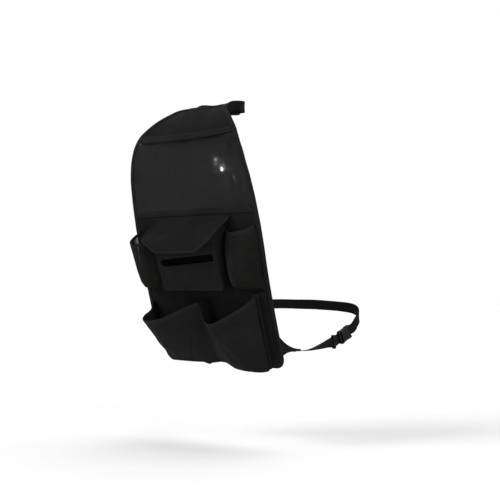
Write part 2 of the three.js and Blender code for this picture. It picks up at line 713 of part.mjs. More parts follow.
function socket() {
  const half = BUCKLE_WIDTH / 2;
  const outline = [[-half + 2, 0], [half - 2, 0], [half, 2.5], [half, 9], [half - 1.4, 14], [half - 1.4, 27],
    [half, 31], [half, SOCKET_LENGTH], [-half, SOCKET_LENGTH], [-half, 31], [-half + 1.4, 27],
    [-half + 1.4, 14], [-half, 9], [-half, 2.5]];
  const cavity = SOCKET_LENGTH - CAVITY_START + 1;
  const cuts = [
    block(CAVITY_WIDTH, cavity, CAVITY_THICK, 0, CAVITY_START, 0),
    block(BUCKLE_WIDTH + 2, CATCH_LENGTH, CAVITY_THICK + 0.6, 0, CATCH_START, 0),
    block(SLOT_WIDTH, WEB_SLOT, BUCKLE_THICK + 2, 0, TAIL_BAR, 0),
    ...barRecess(-1),
  ];
  return cuts.reduce(subtract, plate(outline, BUCKLE_THICK, 1));
}

function plug() {
  const half = BUCKLE_WIDTH / 2;
  const end = BUCKLE_LENGTH;
  const outline = [[-half, PLUG_START], [half, PLUG_START], [half, end - 2.5], [half - 2, end],
    [-half + 2, end], [-half, end - 2.5]];
  const slot = block(SLOT_WIDTH, WEB_SLOT, BUCKLE_THICK + 2, 0, end - TAIL_BAR - WEB_SLOT, 0);
  const recess = barRecess(end - TAIL_BAR - WEB_SLOT);
  const base = [slot, ...recess].reduce(subtract, plate(outline, BUCKLE_THICK - 1, 1));
  const tip = PLUG_START - PRONG_LENGTH;
  const root = PLUG_START + 1;
  const arm = [[7, root], [7, root - 8], [8.4, tip + 2], [9.6, tip + 0.6], [11.8, tip + 0.6],
    [11.8, tip + 2.9], [15, tip + 5.4], [15, tip + 10.9], [11.8, tip + 12.7], [10.6, root]];
  const mirrored = arm.map(([x, y]) => [-x, y]).reverse();
  const guide = block(5, PRONG_LENGTH, 4.6, 0, PLUG_START + 1 - PRONG_LENGTH, 0);
  return join([base, guide, plate(arm, 4.8, 0), plate(mirrored, 4.8, 0)]);
}

// Frame of a buckle: where its tail sits, along, across and through
function buckleFrame(tail, plugEnd, upright) {
  const along = plugEnd.clone().sub(tail).normalize();
  const across = upright.clone().addScaledVector(along, -upright.dot(along)).normalize();
  const through = across.clone().cross(along);
  const matrix = new THREE.Matrix4().makeBasis(across, along, through).setPosition(tail);
  return { across, matrix };
}

const placed = (geometry, frame) => geometry.applyMatrix4(frame.matrix);
const local = (frame, y, z) => new THREE.Vector3(0, y, z).applyMatrix4(frame.matrix);

// Webbing end that runs over the bar and down through the slot, nearest point last
const SLOT_MIDDLE = TAIL_BAR + WEB_SLOT / 2;
const END_SHAPE = [[-16, 1], [-8, 2.4], [-1, WEB_OVER_BAR], [3.2, WEB_OVER_BAR], [5.6, 2],
  [SLOT_MIDDLE, -0.2], [SLOT_MIDDLE, -2.4]];
const socketEnd = (frame) => END_SHAPE.map(([y, z]) => local(frame, y, z));
const plugWebEnd = (frame) => END_SHAPE.map(([y, z]) => local(frame, BUCKLE_LENGTH - y, z));

// Seat strap: from the panel's side edges round the seat, buckled on the viewer's right
const vec = (x, y, z) => new THREE.Vector3(x, y, z);
const mirror = (p) => vec(-p.x, p.y, p.z);
const SEAT_BUCKLE = buckleFrame(vec(...SEAT_BUCKLE_TAIL), vec(...SEAT_BUCKLE_END), UP);

// The webbing starts inside the tab, at half its height
const TAB_MIDDLE = (TAB_TOP + TAB_BOTTOM) / 2;
const TAB_EDGE = drape(panelHalf(TAB_MIDDLE), TAB_MIDDLE, 0);
const STRAP_ROOT = [[TAB_REACH, 30.4, -11.1], [TAB_REACH + 4.6, 51.8, -13.6], [TAB_REACH + 12.6, 79.8, -10.6],
  [TAB_REACH + 20.1, 109.8, -4.3]].map(([x, y, z]) => TAB_EDGE.clone().add(vec(x, y, z)));
const SEAT_SIDE = vec(LOOP_HALF - 2, LOOP_BACK - 167, LOOP_HEIGHT - 87.4);
const STRAP_RIGHT_PATH = [...STRAP_ROOT, SEAT_SIDE, ...socketEnd(SEAT_BUCKLE)];

function seatStrapRight() {
  const rolls = [[0, 0], [0.1, 55], [0.2, 86], [0.3, 50], [0.38, 0], [1, 0]];
  return webbing(STRAP_RIGHT_PATH, rolls, 72, (t) => (t > 0.5 ? SEAT_BUCKLE.across : UP));
}

function seatStrapLeft() {
  const loop = (x, forward, down) => vec(x, LOOP_BACK - forward, LOOP_HEIGHT - down);
  const near = [loop(LOOP_HALF + 4, 64, 42.5), loop(LOOP_HALF, 44, 25), loop(LOOP_HALF - 32, 18, 10)];
  const across = [loop(LOOP_HALF - 127, 4, 2), loop(0, 0, 0), loop(127 - LOOP_HALF, 4, 2)];
  const far = [loop(32 - LOOP_HALF, 18, 10), loop(-LOOP_HALF, 46, 26), loop(-LOOP_HALF - 4, 94, 56),
    loop(-LOOP_HALF, 154, 80)];
  const path = [...plugWebEnd(SEAT_BUCKLE).reverse(), ...near, ...across, ...far,
    ...STRAP_ROOT.map(mirror).reverse()];
  const rolls = [[0, 0], [0.82, 0], [0.9, -60], [0.95, -86], [0.975, -55], [1, 0]];
  return webbing(path, rolls, 110, (t) => (t < 0.34 ? SEAT_BUCKLE.across : UP));
}

// Cloth tab that gathers the panel's side edge into the webbing
function strapTab(side) {
  const section = [[-1, 0], [1, 0], [1, 1], [-1, 1]];
  const root = [TAB_TOP, TAB_BOTTOM].map((s) => {
    const x = panelHalf(s) + BIND_CLEAR + BIND_THICK + GAP;
    return [drape(x, s, 0.3), drape(x, s, 0.3 + TAB_THICK)];
  });
  const tip = STRAP_ROOT[0];
  const rings = [0, 0.3, 0.6, 0.8, 0.92].map((t) => section.map(([k, h]) => {
    const half = k > 0 ? 1 : 0;
    const near = root[half][h];
    const flare = 1 - (1 - t) ** 2;
    const rise = (half ? -1 : 1) * WEB_WIDTH / 2;
    const web = tip.clone().add(vec(h * TAB_THICK * 0.8, -h * TAB_THICK * 0.6, rise));
    const far = near.clone().lerp(web, flare);
    far.x = mix(near.x, web.x, t);
    far.y = mix(near.y, web.y, t);
    return far;
  }));
  const turned = side > 0 ? rings : rings.map((ring) => ring.map(mirror));
  return loft(turned, section, false);
}

function strapKeeper() {
  const curve = new THREE.CatmullRomCurve3(STRAP_RIGHT_PATH, false, 'centripetal');
  const centre = curve.getPoint(KEEPER_AT);
  const frame = buckleFrame(centre, centre.clone().add(curve.getTangent(KEEPER_AT)), UP);
  const [a, b] = [KEEPER_WIDTH / 2, KEEPER_LENGTH / 2];
  const outer = plate([[-a, -b], [a, -b], [a, b], [-a, b]], KEEPER_THICK, 0.8);
  const reach = KEEPER_LENGTH + 2;
  return placed(subtract(outer, block(SLOT_WIDTH, reach, WEB_THICK + 3, 0, -reach / 2, 0)), frame);
}

// Headrest strap, its buckle level behind the posts
const HEAD_BUCKLE = buckleFrame(vec(-BUCKLE_LENGTH / 2, HEAD_BUCKLE_Y, HEAD_BUCKLE_Z),
  vec(BUCKLE_LENGTH / 2, HEAD_BUCKLE_Y, HEAD_BUCKLE_Z), UP);

function headBand() {
  const half = (s) => HEAD_BAND_HALF + Math.max(0, s) * 0.2;
  const grid = spread(6).map((u) => HEAD_BAND_ROWS.map((s) => (
    drape((2 * u - 1) * half(s), s, HEAD_BAND_OFF))));
  return cloth(grid, WEB_THICK);
}

function headTail(side) {
  const start = [22, 8, -6].map((s) => drape(-HEAD_TAIL_X, s, HEAD_TAIL_OFF));
  const behind = [[0.5, 78, 2], [3, 52, 0], [3, 28, 0], [-5, 9, 0]];
  const run = behind.map(([out, forward, down]) => (
    vec(-HEAD_TAIL_X - out, HEAD_BUCKLE_Y - forward, HEAD_BUCKLE_Z - down)));
  const path = [...start, ...run];
  const full = [...path, ...socketEnd(HEAD_BUCKLE)];
  const rolls = [[0, 90], [0.16, 90], [0.5, 0], [1, 0]];
  return webbing(side < 0 ? full : full.map(mirror), rolls, 64);
}

addPart('window_band', windowBand(), TRIM_COLOR, 0.8);
const film = addPart('window_film', windowFilm(), FILM_COLOR, 0.15);
film.material.transparent = true;
film.material.opacity = 0.3;
addPart('window_tape', windowTape(), TRIM_COLOR, 0.8);
addPart('box_gusset', boxGusset(), CLOTH_COLOR, 0.85);
addPart('box_front', subtract(boxFrontSheet(), slotCutter()), CLOTH_COLOR, 0.85);
addPart('box_lid', lid(), CLOTH_COLOR, 0.85);
addPart('lid_binding', lidBinding(), TRIM_COLOR, 0.8);
for (const [name, pouch] of Object.entries(NET_POUCH)) {
  addPart(`net_pocket_${name}`, netPocket(pouch), NET_COLOR, 0.75);
  addPart(`net_rim_${name}`, netRim(pouch), TRIM_COLOR, 0.75);
}
addPart('lower_pocket_right', lowerPocket(LOWER_RIGHT, 1), CLOTH_COLOR, 0.85);
addPart('lower_rim_right', lowerRim(LOWER_RIGHT, 1), TRIM_COLOR, 0.8);
addPart('lower_pocket_left', lowerPocket(LOWER_LEFT, -1), CLOTH_COLOR, 0.85);
addPart('lower_rim_left', lowerRim(LOWER_LEFT, -1), TRIM_COLOR, 0.8);
addPart('lower_divider', lowerDivider(), CLOTH_COLOR, 0.85);
addPart('strap_tab_right', strapTab(1), CLOTH_COLOR, 0.85);
addPart('strap_tab_left', strapTab(-1), CLOTH_COLOR, 0.85);
addPart('seat_strap_right', seatStrapRight(), WEB_COLOR, 0.7);
addPart('seat_strap_left', seatStrapLeft(), WEB_COLOR, 0.7);
addPart('seat_strap_keeper', strapKeeper(), PLASTIC_COLOR, 0.35);
addPart('seat_buckle_socket', placed(socket(), SEAT_BUCKLE), PLASTIC_COLOR, 0.35);
addPart('seat_buckle_plug', placed(plug(), SEAT_BUCKLE), PLASTIC_COLOR, 0.35);
addPart('headrest_band', headBand(), WEB_COLOR, 0.7);
addPart('headrest_strap_left', headTail(-1), WEB_COLOR, 0.7);
addPart('headrest_strap_right', headTail(1), WEB_COLOR, 0.7);
addPart('headrest_buckle_socket', placed(socket(), HEAD_BUCKLE), PLASTIC_COLOR, 0.35);
addPart('headrest_buckle_plug', placed(plug(), HEAD_BUCKLE), PLASTIC_COLOR, 0.35);

export default parts;
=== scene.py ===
import math

import bmesh
import bpy
import numpy as np
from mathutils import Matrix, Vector, noise


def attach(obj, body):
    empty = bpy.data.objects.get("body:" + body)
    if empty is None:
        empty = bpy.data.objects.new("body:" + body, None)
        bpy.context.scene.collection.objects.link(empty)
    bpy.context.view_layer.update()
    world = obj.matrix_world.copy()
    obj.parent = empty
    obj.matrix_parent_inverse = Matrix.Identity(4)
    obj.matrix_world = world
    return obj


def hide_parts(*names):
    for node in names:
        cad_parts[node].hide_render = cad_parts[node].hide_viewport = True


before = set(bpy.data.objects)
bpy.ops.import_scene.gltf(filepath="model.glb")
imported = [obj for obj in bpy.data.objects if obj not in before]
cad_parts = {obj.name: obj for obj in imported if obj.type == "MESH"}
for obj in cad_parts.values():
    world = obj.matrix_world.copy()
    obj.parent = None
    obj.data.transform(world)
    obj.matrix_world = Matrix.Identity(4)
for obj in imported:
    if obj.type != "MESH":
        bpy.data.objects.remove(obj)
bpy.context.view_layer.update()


# The room: a plain pale floor, a white surround, wide and distant lamps, and one small bulb for the glints.
# The camera stands level with the lower pockets, to the right of the panel and well back from it.
CAMERA_AT = (1.7338, -1.8661, -0.2041)
CAMERA_TURN = (91.73, 0.0, 39.72)
CAMERA_LENS = 77.01
CAMERA_SENSOR = 36.0
FLOOR_HEIGHT = -0.60
FLOOR_REACH = 14.0
FLOOR_GLOW = 0.03
SURROUND_LIGHT = 0.55
SURROUND_SEEN = 1.0
# Each lamp's name, the way to it, its width in degrees and its power
LAMPS = (
    ("key_lamp", (-0.35, -0.80, 0.62), 24.0, 1.3),
    ("side_lamp", (0.90, -0.35, 0.28), 34.0, 1.45),
    ("top_lamp", (0.10, 0.15, 0.98), 40.0, 0.8),
)
SPARK_AT = (-0.62, -1.16, -0.22)
SPARK_WIDTH = 0.045
SPARK_POWER = 260.0


def add(tree, kind, inputs=None, **settings):
    """A new node with its settings, and its sockets linked from other sockets or set to values."""
    node = tree.nodes.new(kind)
    for name, value in settings.items():
        setattr(node, name, value)
    for socket, value in (inputs or {}).items():
        if isinstance(value, bpy.types.NodeSocket):
            tree.links.new(value, node.inputs[socket])
        else:
            node.inputs[socket].default_value = value
    return node


def calc(tree, operation, *values):
    """One sum with one or two values."""
    return add(tree, "ShaderNodeMath", dict(enumerate(values)), operation=operation).outputs[0]


def seen_directly(tree):
    """1 for rays that end in the picture, in a reflection or behind clear film, and 0 for light."""
    path = add(tree, "ShaderNodeLightPath").outputs
    mirrored = calc(tree, "MAXIMUM", path["Is Camera Ray"], path["Is Glossy Ray"])
    return calc(tree, "MAXIMUM", mirrored, path["Is Transmission Ray"])


def surround():
    world = bpy.data.worlds.new("white_surround")
    world.use_nodes = True
    tree = world.node_tree
    tree.nodes.clear()
    dim = add(tree, "ShaderNodeBackground", {"Color": (1, 1, 1, 1), "Strength": SURROUND_LIGHT})
    white = add(tree, "ShaderNodeBackground", {"Color": (1, 1, 1, 1), "Strength": SURROUND_SEEN})
    mix = add(tree, "ShaderNodeMixShader", {0: seen_directly(tree), 1: dim.outputs[0], 2: white.outputs[0]})
    add(tree, "ShaderNodeOutputWorld", {"Surface": mix.outputs[0]})
    bpy.context.scene.world = world


def new_material(name):
    """A material and its node tree, still empty."""
    material = bpy.data.materials.new(name)
    material.use_nodes = True
    material.node_tree.nodes.clear()
    return material, material.node_tree


def speckle(tree, place, scale, detail, **more):
    """Soft noise, finer with a higher scale."""
    inputs = {"Vector": place, "Scale": scale, "Detail": detail, **more}
    return add(tree, "ShaderNodeTexNoise", inputs).outputs[0]


def ranged(tree, value, low, high, start=0.0, end=1.0):
    """A value that runs from start to end while the one given runs from low to high."""
    inputs = {"Value": value, "From Min": low, "From Max": high, "To Min": start, "To Max": end}
    return add(tree, "ShaderNodeMapRange", inputs).outputs[0]


def surface(tree, inputs):
    """The finish that the material shows."""
    shade = add(tree, "ShaderNodeBsdfPrincipled", inputs)
    add(tree, "ShaderNodeOutputMaterial", {"Surface": shade.outputs[0]})


def floor_paint():
    material, tree = new_material("floor_paint")
    place = add(tree, "ShaderNodeTexCoord").outputs["Object"]
    tone = ranged(tree, speckle(tree, place, 3.0, 4.0), 0.0, 1.0, 0.84, 0.88)
    glow = calc(tree, "MULTIPLY", seen_directly(tree), FLOOR_GLOW)
    surface(tree, {"Base Color": tone, "Roughness": 0.9, "Emission Color": (1, 1, 1, 1),
                   "Emission Strength": glow, "Specular IOR Level": 0.1})
    return material


def floor():
    bm = bmesh.new()
    bmesh.ops.create_grid(bm, x_segments=2, y_segments=2, size=FLOOR_REACH)
    bmesh.ops.translate(bm, verts=bm.verts[:], vec=(0, 0, FLOOR_HEIGHT))
    mesh = bpy.data.meshes.new("floor")
    bm.to_mesh(mesh)
    bm.free()
    mesh.materials.append(floor_paint())
    sheet = bpy.data.objects.new("floor", mesh)
    bpy.context.collection.objects.link(sheet)


def lamp(name, toward, width, power):
    light = bpy.data.lights.new(name, "SUN")
    light.angle = math.radians(width)
    light.energy = power
    lit = bpy.data.objects.new(name, light)
    lit.rotation_euler = (-Vector(toward)).to_track_quat("-Z", "Y").to_euler()
    bpy.context.collection.objects.link(lit)


def spark():
    """A small bulb, low on the left, for the glints on the film and the buckles. It lights no cloth."""
    light = bpy.data.lights.new("spark_lamp", "POINT")
    light.shadow_soft_size = SPARK_WIDTH
    light.energy = SPARK_POWER
    lit = bpy.data.objects.new("spark_lamp", light)
    lit.location = SPARK_AT
    lit.visible_camera = False
    lit.visible_diffuse = False
    bpy.context.collection.objects.link(lit)
    lit.light_linking.receiver_collection = bpy.data.collections.new("glinting")
    return lit.light_linking.receiver_collection


def camera():
    lens = bpy.data.cameras.new("camera")
    lens.sensor_width = CAMERA_SENSOR
    lens.lens = CAMERA_LENS
    lens.clip_end = 100
    eye = bpy.data.objects.new("camera", lens)
    eye.location = CAMERA_AT
    eye.rotation_euler = [math.radians(a) for a in CAMERA_TURN]
    bpy.context.collection.objects.link(eye)
    bpy.context.scene.camera = eye


surround()
floor()
for row in LAMPS:
    lamp(*row)
GLINTING = spark()
camera()
bpy.context.scene.view_settings.view_transform = "Standard"


# The back panel: one piece of coarse black polyester, narrow at the headrest and widest at the pockets.
# It hangs by its top edge, follows the rounded seat back and leans out with it towards its foot.
PANEL_LENGTH = 0.664
PANEL_THICK = 0.0024
ORIGIN_DOWN = 0.245
TOP_CORNER = 0.012
BOTTOM_CORNER = 0.025
LEAN = ((0.0, -64), (0.070, -31), (0.130, 4), (0.200, 13.5), (0.290, 13.5), (PANEL_LENGTH, 18.7))
HALF_WIDTH = ((0.0, 0.075), (0.025, 0.092), (0.055, 0.124), (0.090, 0.1545), (0.117, 0.168), (0.150, 0.1795),
              (0.200, 0.190), (0.255, 0.196), (0.320, 0.1995), (0.370, 0.1995), (0.430, 0.1975),
              (PANEL_LENGTH, 0.195))
CLOTH_BLACK = (0.0070, 0.0070, 0.0071, 1)
CLOTH_DUST = (0.0122, 0.0122, 0.0123, 1)
CLOTH_THREAD = 0.0007
STITCH_PITCH = 0.0034
STITCH_IN = 0.0025
STITCH_WIDTH = 0.0005
STITCH_GREY = (0.018, 0.018, 0.019, 1)
PANEL_CELLS = (110, 190)
CORNER_DRAWN_IN = 0.009
CORNER_DRAWN_BACK = 0.006
READ_STEP = 0.001


def eased(table, window):
    """The table read at every millimetre, with its corners rounded over the window."""
    keys = np.arange(table[0][0], table[-1][0] + READ_STEP / 2, READ_STEP)
    values = np.interp(keys, [row[0] for row in table], [row[1] for row in table])
    count = max(1, int(window / READ_STEP)) | 1
    padded = np.pad(values, count // 2, mode="reflect", reflect_type="odd")
    return keys, np.convolve(padded, np.ones(count) / count, mode="valid")


def side_profile():
    """The panel's rear face from the side: the way down the cloth, y and z at every millimetre."""
    down = np.arange(-0.04, PANEL_LENGTH + 0.04, READ_STEP)
    lean = np.radians(np.interp(down, [row[0] for row in LEAN], [row[1] for row in LEAN]))
    y = np.concatenate([[0], np.cumsum((np.sin(lean[1:]) + np.sin(lean[:-1])) / 2)]) * READ_STEP
    z = np.concatenate([[0], np.cumsum((np.cos(lean[1:]) + np.cos(lean[:-1])) / 2)]) * -READ_STEP
    return down, lean, y - np.interp(ORIGIN_DOWN, down, y), z - np.interp(ORIGIN_DOWN, down, z)


DOWN, LEANING, BACK_Y, BACK_Z = side_profile()
HALF_AT = eased(HALF_WIDTH, 0.016)
FOOT_LIFT = eased(((-0.200, 0.0), (-0.107, 0.002), (-0.060, 0.002), (-0.035, 0.001), (0.0, 0.006),
                   (0.035, 0.003), (0.090, 0.0), (0.150, -0.002), (0.200, -0.003)), 0.012)


def ripple(x, s):
    """Soft creases of cloth that hangs over a rounded back, mostly down the panel."""
    slow = noise.noise(Vector((x * 9, s * 4, 1.7)))
    fold = noise.noise(Vector((x * 24, s * 5 + x * 4, 5.2)))
    side = math.exp(-((abs(x) - 0.150) / 0.028) ** 2) * min(1.0, max(0.0, (s - 0.03) / 0.06))
    tug = noise.noise(Vector((x * 75 + s * 7, s * 9, 9.4)))
    return 0.0018 * slow + 0.0011 * fold + 0.0011 * side * tug


def eased_step(value, low, high):
    """0 below low, 1 above high, and a smooth rise between them."""
    share = min(1.0, max(0.0, (value - low) / (high - low)))
    return share * share * (3 - 2 * share)


def drape(x, s, off=0.0):
    """The point x across and s down the panel, off its rear face towards the viewer. Its foot is drawn up
    at the centre seam, and its left lower corner is drawn in and back by the strap."""
    s = s - float(np.interp(x, *FOOT_LIFT)) * eased_step(s, 0.60, 0.66)
    drawn = eased_step(s, 0.575, 0.650) * eased_step(-x, 0.10, 0.195)
    lean = np.interp(s, DOWN, LEANING)
    off = off + ripple(x, s) - CORNER_DRAWN_BACK * drawn
    return Vector((x + CORNER_DRAWN_IN * drawn, np.interp(s, DOWN, BACK_Y) - off * math.cos(lean),
                   np.interp(s, DOWN, BACK_Z) - off * math.sin(lean)))


def rounded_half(half, s, bottom, radius):
    """Half width where the two lower corners are rounded."""
    into = s - (bottom - radius)
    return half if into <= 0 else half - radius + math.sqrt(max(0.0, radius ** 2 - into ** 2))


def panel_half(s):
    """The panel's half width, with its lower and its upper corners rounded."""
    half = rounded_half(float(np.interp(s, *HALF_AT)), s, PANEL_LENGTH, BOTTOM_CORNER)
    up = max(0.0, TOP_CORNER - s)
    return half - TOP_CORNER + math.sqrt(max(0.0, TOP_CORNER ** 2 - up ** 2))


def lay_cloth(cells, size, place, relief=None, weave=None, seam=None, closed=False):
    """A cut piece: a flat grid whose points place(across, down) lays in the room, both from 0 to 1.
    The Weave map holds the flat cut in metres, the Seam map the run along a seam and the way from it."""
    bm = bmesh.new()
    bmesh.ops.create_grid(bm, x_segments=cells[0], y_segments=cells[1], size=0.5)
    flat = {vert: (vert.co.x + 0.5, 0.5 - vert.co.y) for vert in bm.verts}
    weave_map = bm.loops.layers.uv.new("Weave")
    seam_map = bm.loops.layers.uv.new("Seam")
    for face in bm.faces:
        for loop in face.loops:
            u, v = flat[loop.vert]
            loop[weave_map].uv = weave(u, v) if weave else (u * size[0], v * size[1])
            loop[seam_map].uv = seam(u, v) if seam else (0.0, 0.0)
    for vert, (u, v) in flat.items():
        vert.co = place(u, v)
    if closed:
        bmesh.ops.remove_doubles(bm, verts=bm.verts[:], dist=1e-6)
    if relief:
        bm.normal_update()
        normals = [(vert, vert.normal.copy(), flat[vert]) for vert in bm.verts]
        for vert, normal, (u, v) in normals:
            vert.co += normal * relief(u, v)
    return bm


def make_piece(name, bm, material, nodes, thick=0.0, side=1.0, soft_edge=0.35):
    """The mesh as a piece of the organizer, given the cloth's thickness and slightly rounded edges."""
    mesh = bpy.data.meshes.new(name)
    bm.to_mesh(mesh)
    bm.free()
    mesh.shade_smooth()
    mesh.materials.append(material)
    piece = bpy.data.objects.new(name, mesh)
    bpy.context.collection.objects.link(piece)
    if thick:
        wall = piece.modifiers.new("thickness", "SOLIDIFY")
        wall.thickness = thick
        wall.offset = side
    if thick and soft_edge:
        edge = piece.modifiers.new("soft_edge", "BEVEL")
        edge.width = thick * soft_edge
        edge.segments = 2
        edge.limit_method = "ANGLE"
        edge.angle_limit = math.radians(50)
    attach(piece, "root")
    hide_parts(*nodes)
    return piece


def new_group(name, inputs, outputs):
    """An empty node group with its named inputs, each with a start value, and outputs."""
    group = bpy.data.node_groups.new(name, "ShaderNodeTree")
    kinds = {3: "NodeSocketVector", 4: "NodeSocketColor"}
    for label, value in inputs.items():
        kind = kinds.get(len(value) if hasattr(value, "__len__") else 1, "NodeSocketFloat")
        socket = group.interface.new_socket(label, in_out="INPUT", socket_type=kind)
        socket.default_value = value
    for label, kind in outputs.items():
        group.interface.new_socket(label, in_out="OUTPUT", socket_type=kind)
    return group, group.nodes.new("NodeGroupInput"), group.nodes.new("NodeGroupOutput")


def weave_group():
    """Over and under of crossing threads, from a flat map in metres."""
    tree, given, out = new_group(
        "crossing_threads", {"Flat": (0.0, 0.0, 0.0), "Thread": CLOTH_THREAD, "Stretch": 1.0},
        {"Height": "NodeSocketFloat"})
    flat = add(tree, "ShaderNodeSeparateXYZ", {0: given.outputs["Flat"]}).outputs
    turns = calc(tree, "DIVIDE", math.pi, given.outputs["Thread"])
    warp = calc(tree, "SINE", calc(tree, "MULTIPLY", flat["X"], turns))
    down = calc(tree, "MULTIPLY", flat["Y"], turns)
    weft = calc(tree, "SINE", calc(tree, "MULTIPLY", down, given.outputs["Stretch"]))
    height = ranged(tree, calc(tree, "MULTIPLY", warp, weft), -1.0, 1.0)
    tree.links.new(height, out.inputs["Height"])
    return tree


def mixed(tree, share, first, second, blend="MIX"):
    """The first colour with its share of the second."""
    inputs = {0: share, 6: first, 7: second}
    return add(tree, "ShaderNodeMix", inputs, data_type="RGBA", blend_type=blend).outputs[2]


def tone_group():
    """Uneven dye, rubbed patches and fine lint on black cloth."""
    tree, given, out = new_group(
        "uneven_dye", {"Place": (0.0, 0.0, 0.0), "Dye": CLOTH_BLACK, "Rubbed": CLOTH_DUST, "Amount": 0.5},
        {"Color": "NodeSocketColor", "Roughness": "NodeSocketFloat"})
    broad = speckle(tree, given.outputs["Place"], 11.0, 5.0, Roughness=0.6)
    fine = speckle(tree, given.outputs["Place"], 320.0, 3.0)
    worn = calc(tree, "MAXIMUM", ranged(tree, broad, 0.38, 0.68), ranged(tree, fine, 0.66, 0.74))
    share = calc(tree, "MULTIPLY", worn, given.outputs["Amount"])
    color = mixed(tree, share, given.outputs["Dye"], given.outputs["Rubbed"])
    tree.links.new(color, out.inputs["Color"])
    tree.links.new(ranged(tree, broad, 0.0, 1.0, 0.92, 0.72), out.inputs["Roughness"])
    return tree


def stitch_group():
    """One row of sewing thread: a mask of short dashes on a line at a set way from the edge."""
    tree, given, out = new_group(
        "sewn_row",
        {"Seam": (0.0, 0.0, 0.0), "Line": STITCH_IN, "Pitch": STITCH_PITCH, "Width": STITCH_WIDTH},
        {"Mask": "NodeSocketFloat"})
    seam = add(tree, "ShaderNodeSeparateXYZ", {0: given.outputs["Seam"]}).outputs
    away = calc(tree, "ABSOLUTE", calc(tree, "SUBTRACT", seam["Y"], given.outputs["Line"]))
    row = ranged(tree, calc(tree, "DIVIDE", away, given.outputs["Width"]), 0.5, 1.0, 1.0, 0.0)
    step = calc(tree, "FRACT", calc(tree, "DIVIDE", seam["X"], given.outputs["Pitch"]))
    half = calc(tree, "ABSOLUTE", calc(tree, "SUBTRACT", step, 0.5))
    dash = ranged(tree, half, 0.34, 0.42, 1.0, 0.0)
    tree.links.new(calc(tree, "MULTIPLY", row, dash), out.inputs["Mask"])
    return tree


CROSSING_THREADS = weave_group()
UNEVEN_DYE = tone_group()
SEWN_ROW = stitch_group()


def use(tree, group, inputs):
    """What the group gives for these inputs."""
    return add(tree, "ShaderNodeGroup", inputs, node_tree=group).outputs


def bumped(tree, strength, distance, height, **more):
    """The surface's direction where its height goes up and down."""
    inputs = {"Strength": strength, "Distance": distance, "Height": height, **more}
    return add(tree, "ShaderNodeBump", inputs).outputs[0]


def cloth_material(name, dye, rubbed, thread, stretch=1.0, weave_depth=0.00025, gloss=0.05, crumple=0.0012):
    """Woven black polyester with uneven dye, painted shade in the weave's hollows and painted highlight on
    its crests, a stitched row where the Seam map has one, and soft crumples.
    """
    material, tree = new_material(name)
    place = add(tree, "ShaderNodeTexCoord").outputs["Object"]
    flat = add(tree, "ShaderNodeUVMap", uv_map="Weave").outputs[0]
    seam = add(tree, "ShaderNodeUVMap", uv_map="Seam").outputs[0]
    height = use(tree, CROSSING_THREADS, {"Flat": flat, "Thread": thread, "Stretch": stretch})["Height"]
    tone = use(tree, UNEVEN_DYE, {"Place": place, "Dye": dye, "Rubbed": rubbed})
    sewn = use(tree, SEWN_ROW, {"Seam": seam})["Mask"]
    # Painted shade and highlight: the colour is multiplied by 0.72 in the weave's hollows up to 1.2 on its
    # crests.
    weave_shade_and_highlight = ranged(tree, height, 0.0, 1.0, 0.72, 1.2)
    weave_shaded = mixed(tree, 1.0, tone["Color"], weave_shade_and_highlight, "MULTIPLY")
    folds = speckle(tree, place, 34.0, 3.0, Roughness=0.55, Distortion=0.6)
    soft = bumped(tree, 0.5, crumple, folds)
    bump = bumped(tree, 0.6, weave_depth, calc(tree, "ADD", height, sewn), Normal=soft)
    surface(tree, {"Base Color": mixed(tree, sewn, weave_shaded, STITCH_GREY), "Roughness": tone["Roughness"],
                   "Normal": bump, "Specular IOR Level": gloss})
    return material


BLACK_CLOTH = cloth_material("black_polyester", CLOTH_BLACK, CLOTH_DUST, CLOTH_THREAD)


def panel_point(u, v):
    s = v * PANEL_LENGTH
    return drape((2 * u - 1) * panel_half(s), s)


panel_cloth = make_piece(
    "panel_cloth", lay_cloth(PANEL_CELLS, (0.39, PANEL_LENGTH), panel_point),
    BLACK_CLOTH, ["back_panel"], PANEL_THICK, soft_edge=0)


# The binding: a narrow woven tape folded over the panel's raw edge all round and sewn through both lips.
# It puckers a little along the thread, and its dye is slightly lighter than the cloth's.
BIND_LIP = 0.009
BIND_THICK = 0.0009
BIND_CLEAR = 0.0004
TAPE_BLACK = (0.0086, 0.0086, 0.0090, 1)
TAPE_RUBBED = (0.0140, 0.0140, 0.0146, 1)
TAPE_THREAD = 0.0009
TAPE_STEPS = 14
BINDING_TAPE = cloth_material("binding_tape", TAPE_BLACK, TAPE_RUBBED, TAPE_THREAD, stretch=2.0,
                              weave_depth=0.0003, gloss=0.06, crumple=0.0005)


def evenly(points, count, closed=False):
    """Points at equal steps along a line, the way out of its left side at each, and the line's length."""
    line = np.array(list(points) + ([points[0]] if closed else []), float)
    run = np.concatenate([[0], np.cumsum(np.linalg.norm(np.diff(line[:, :2], axis=0), axis=1))])
    at = np.linspace(0, run[-1], count + 1)
    even = np.stack([np.interp(at, run, line[:, k]) for k in range(line.shape[1])], axis=1)
    along = np.gradient(even, axis=0)
    if closed:
        along[0] = along[-1] = even[1] - even[-2]
    along /= np.linalg.norm(along, axis=1)[:, None]
    return even, np.stack([-along[:, 1], along[:, 0]], axis=1), run[-1]


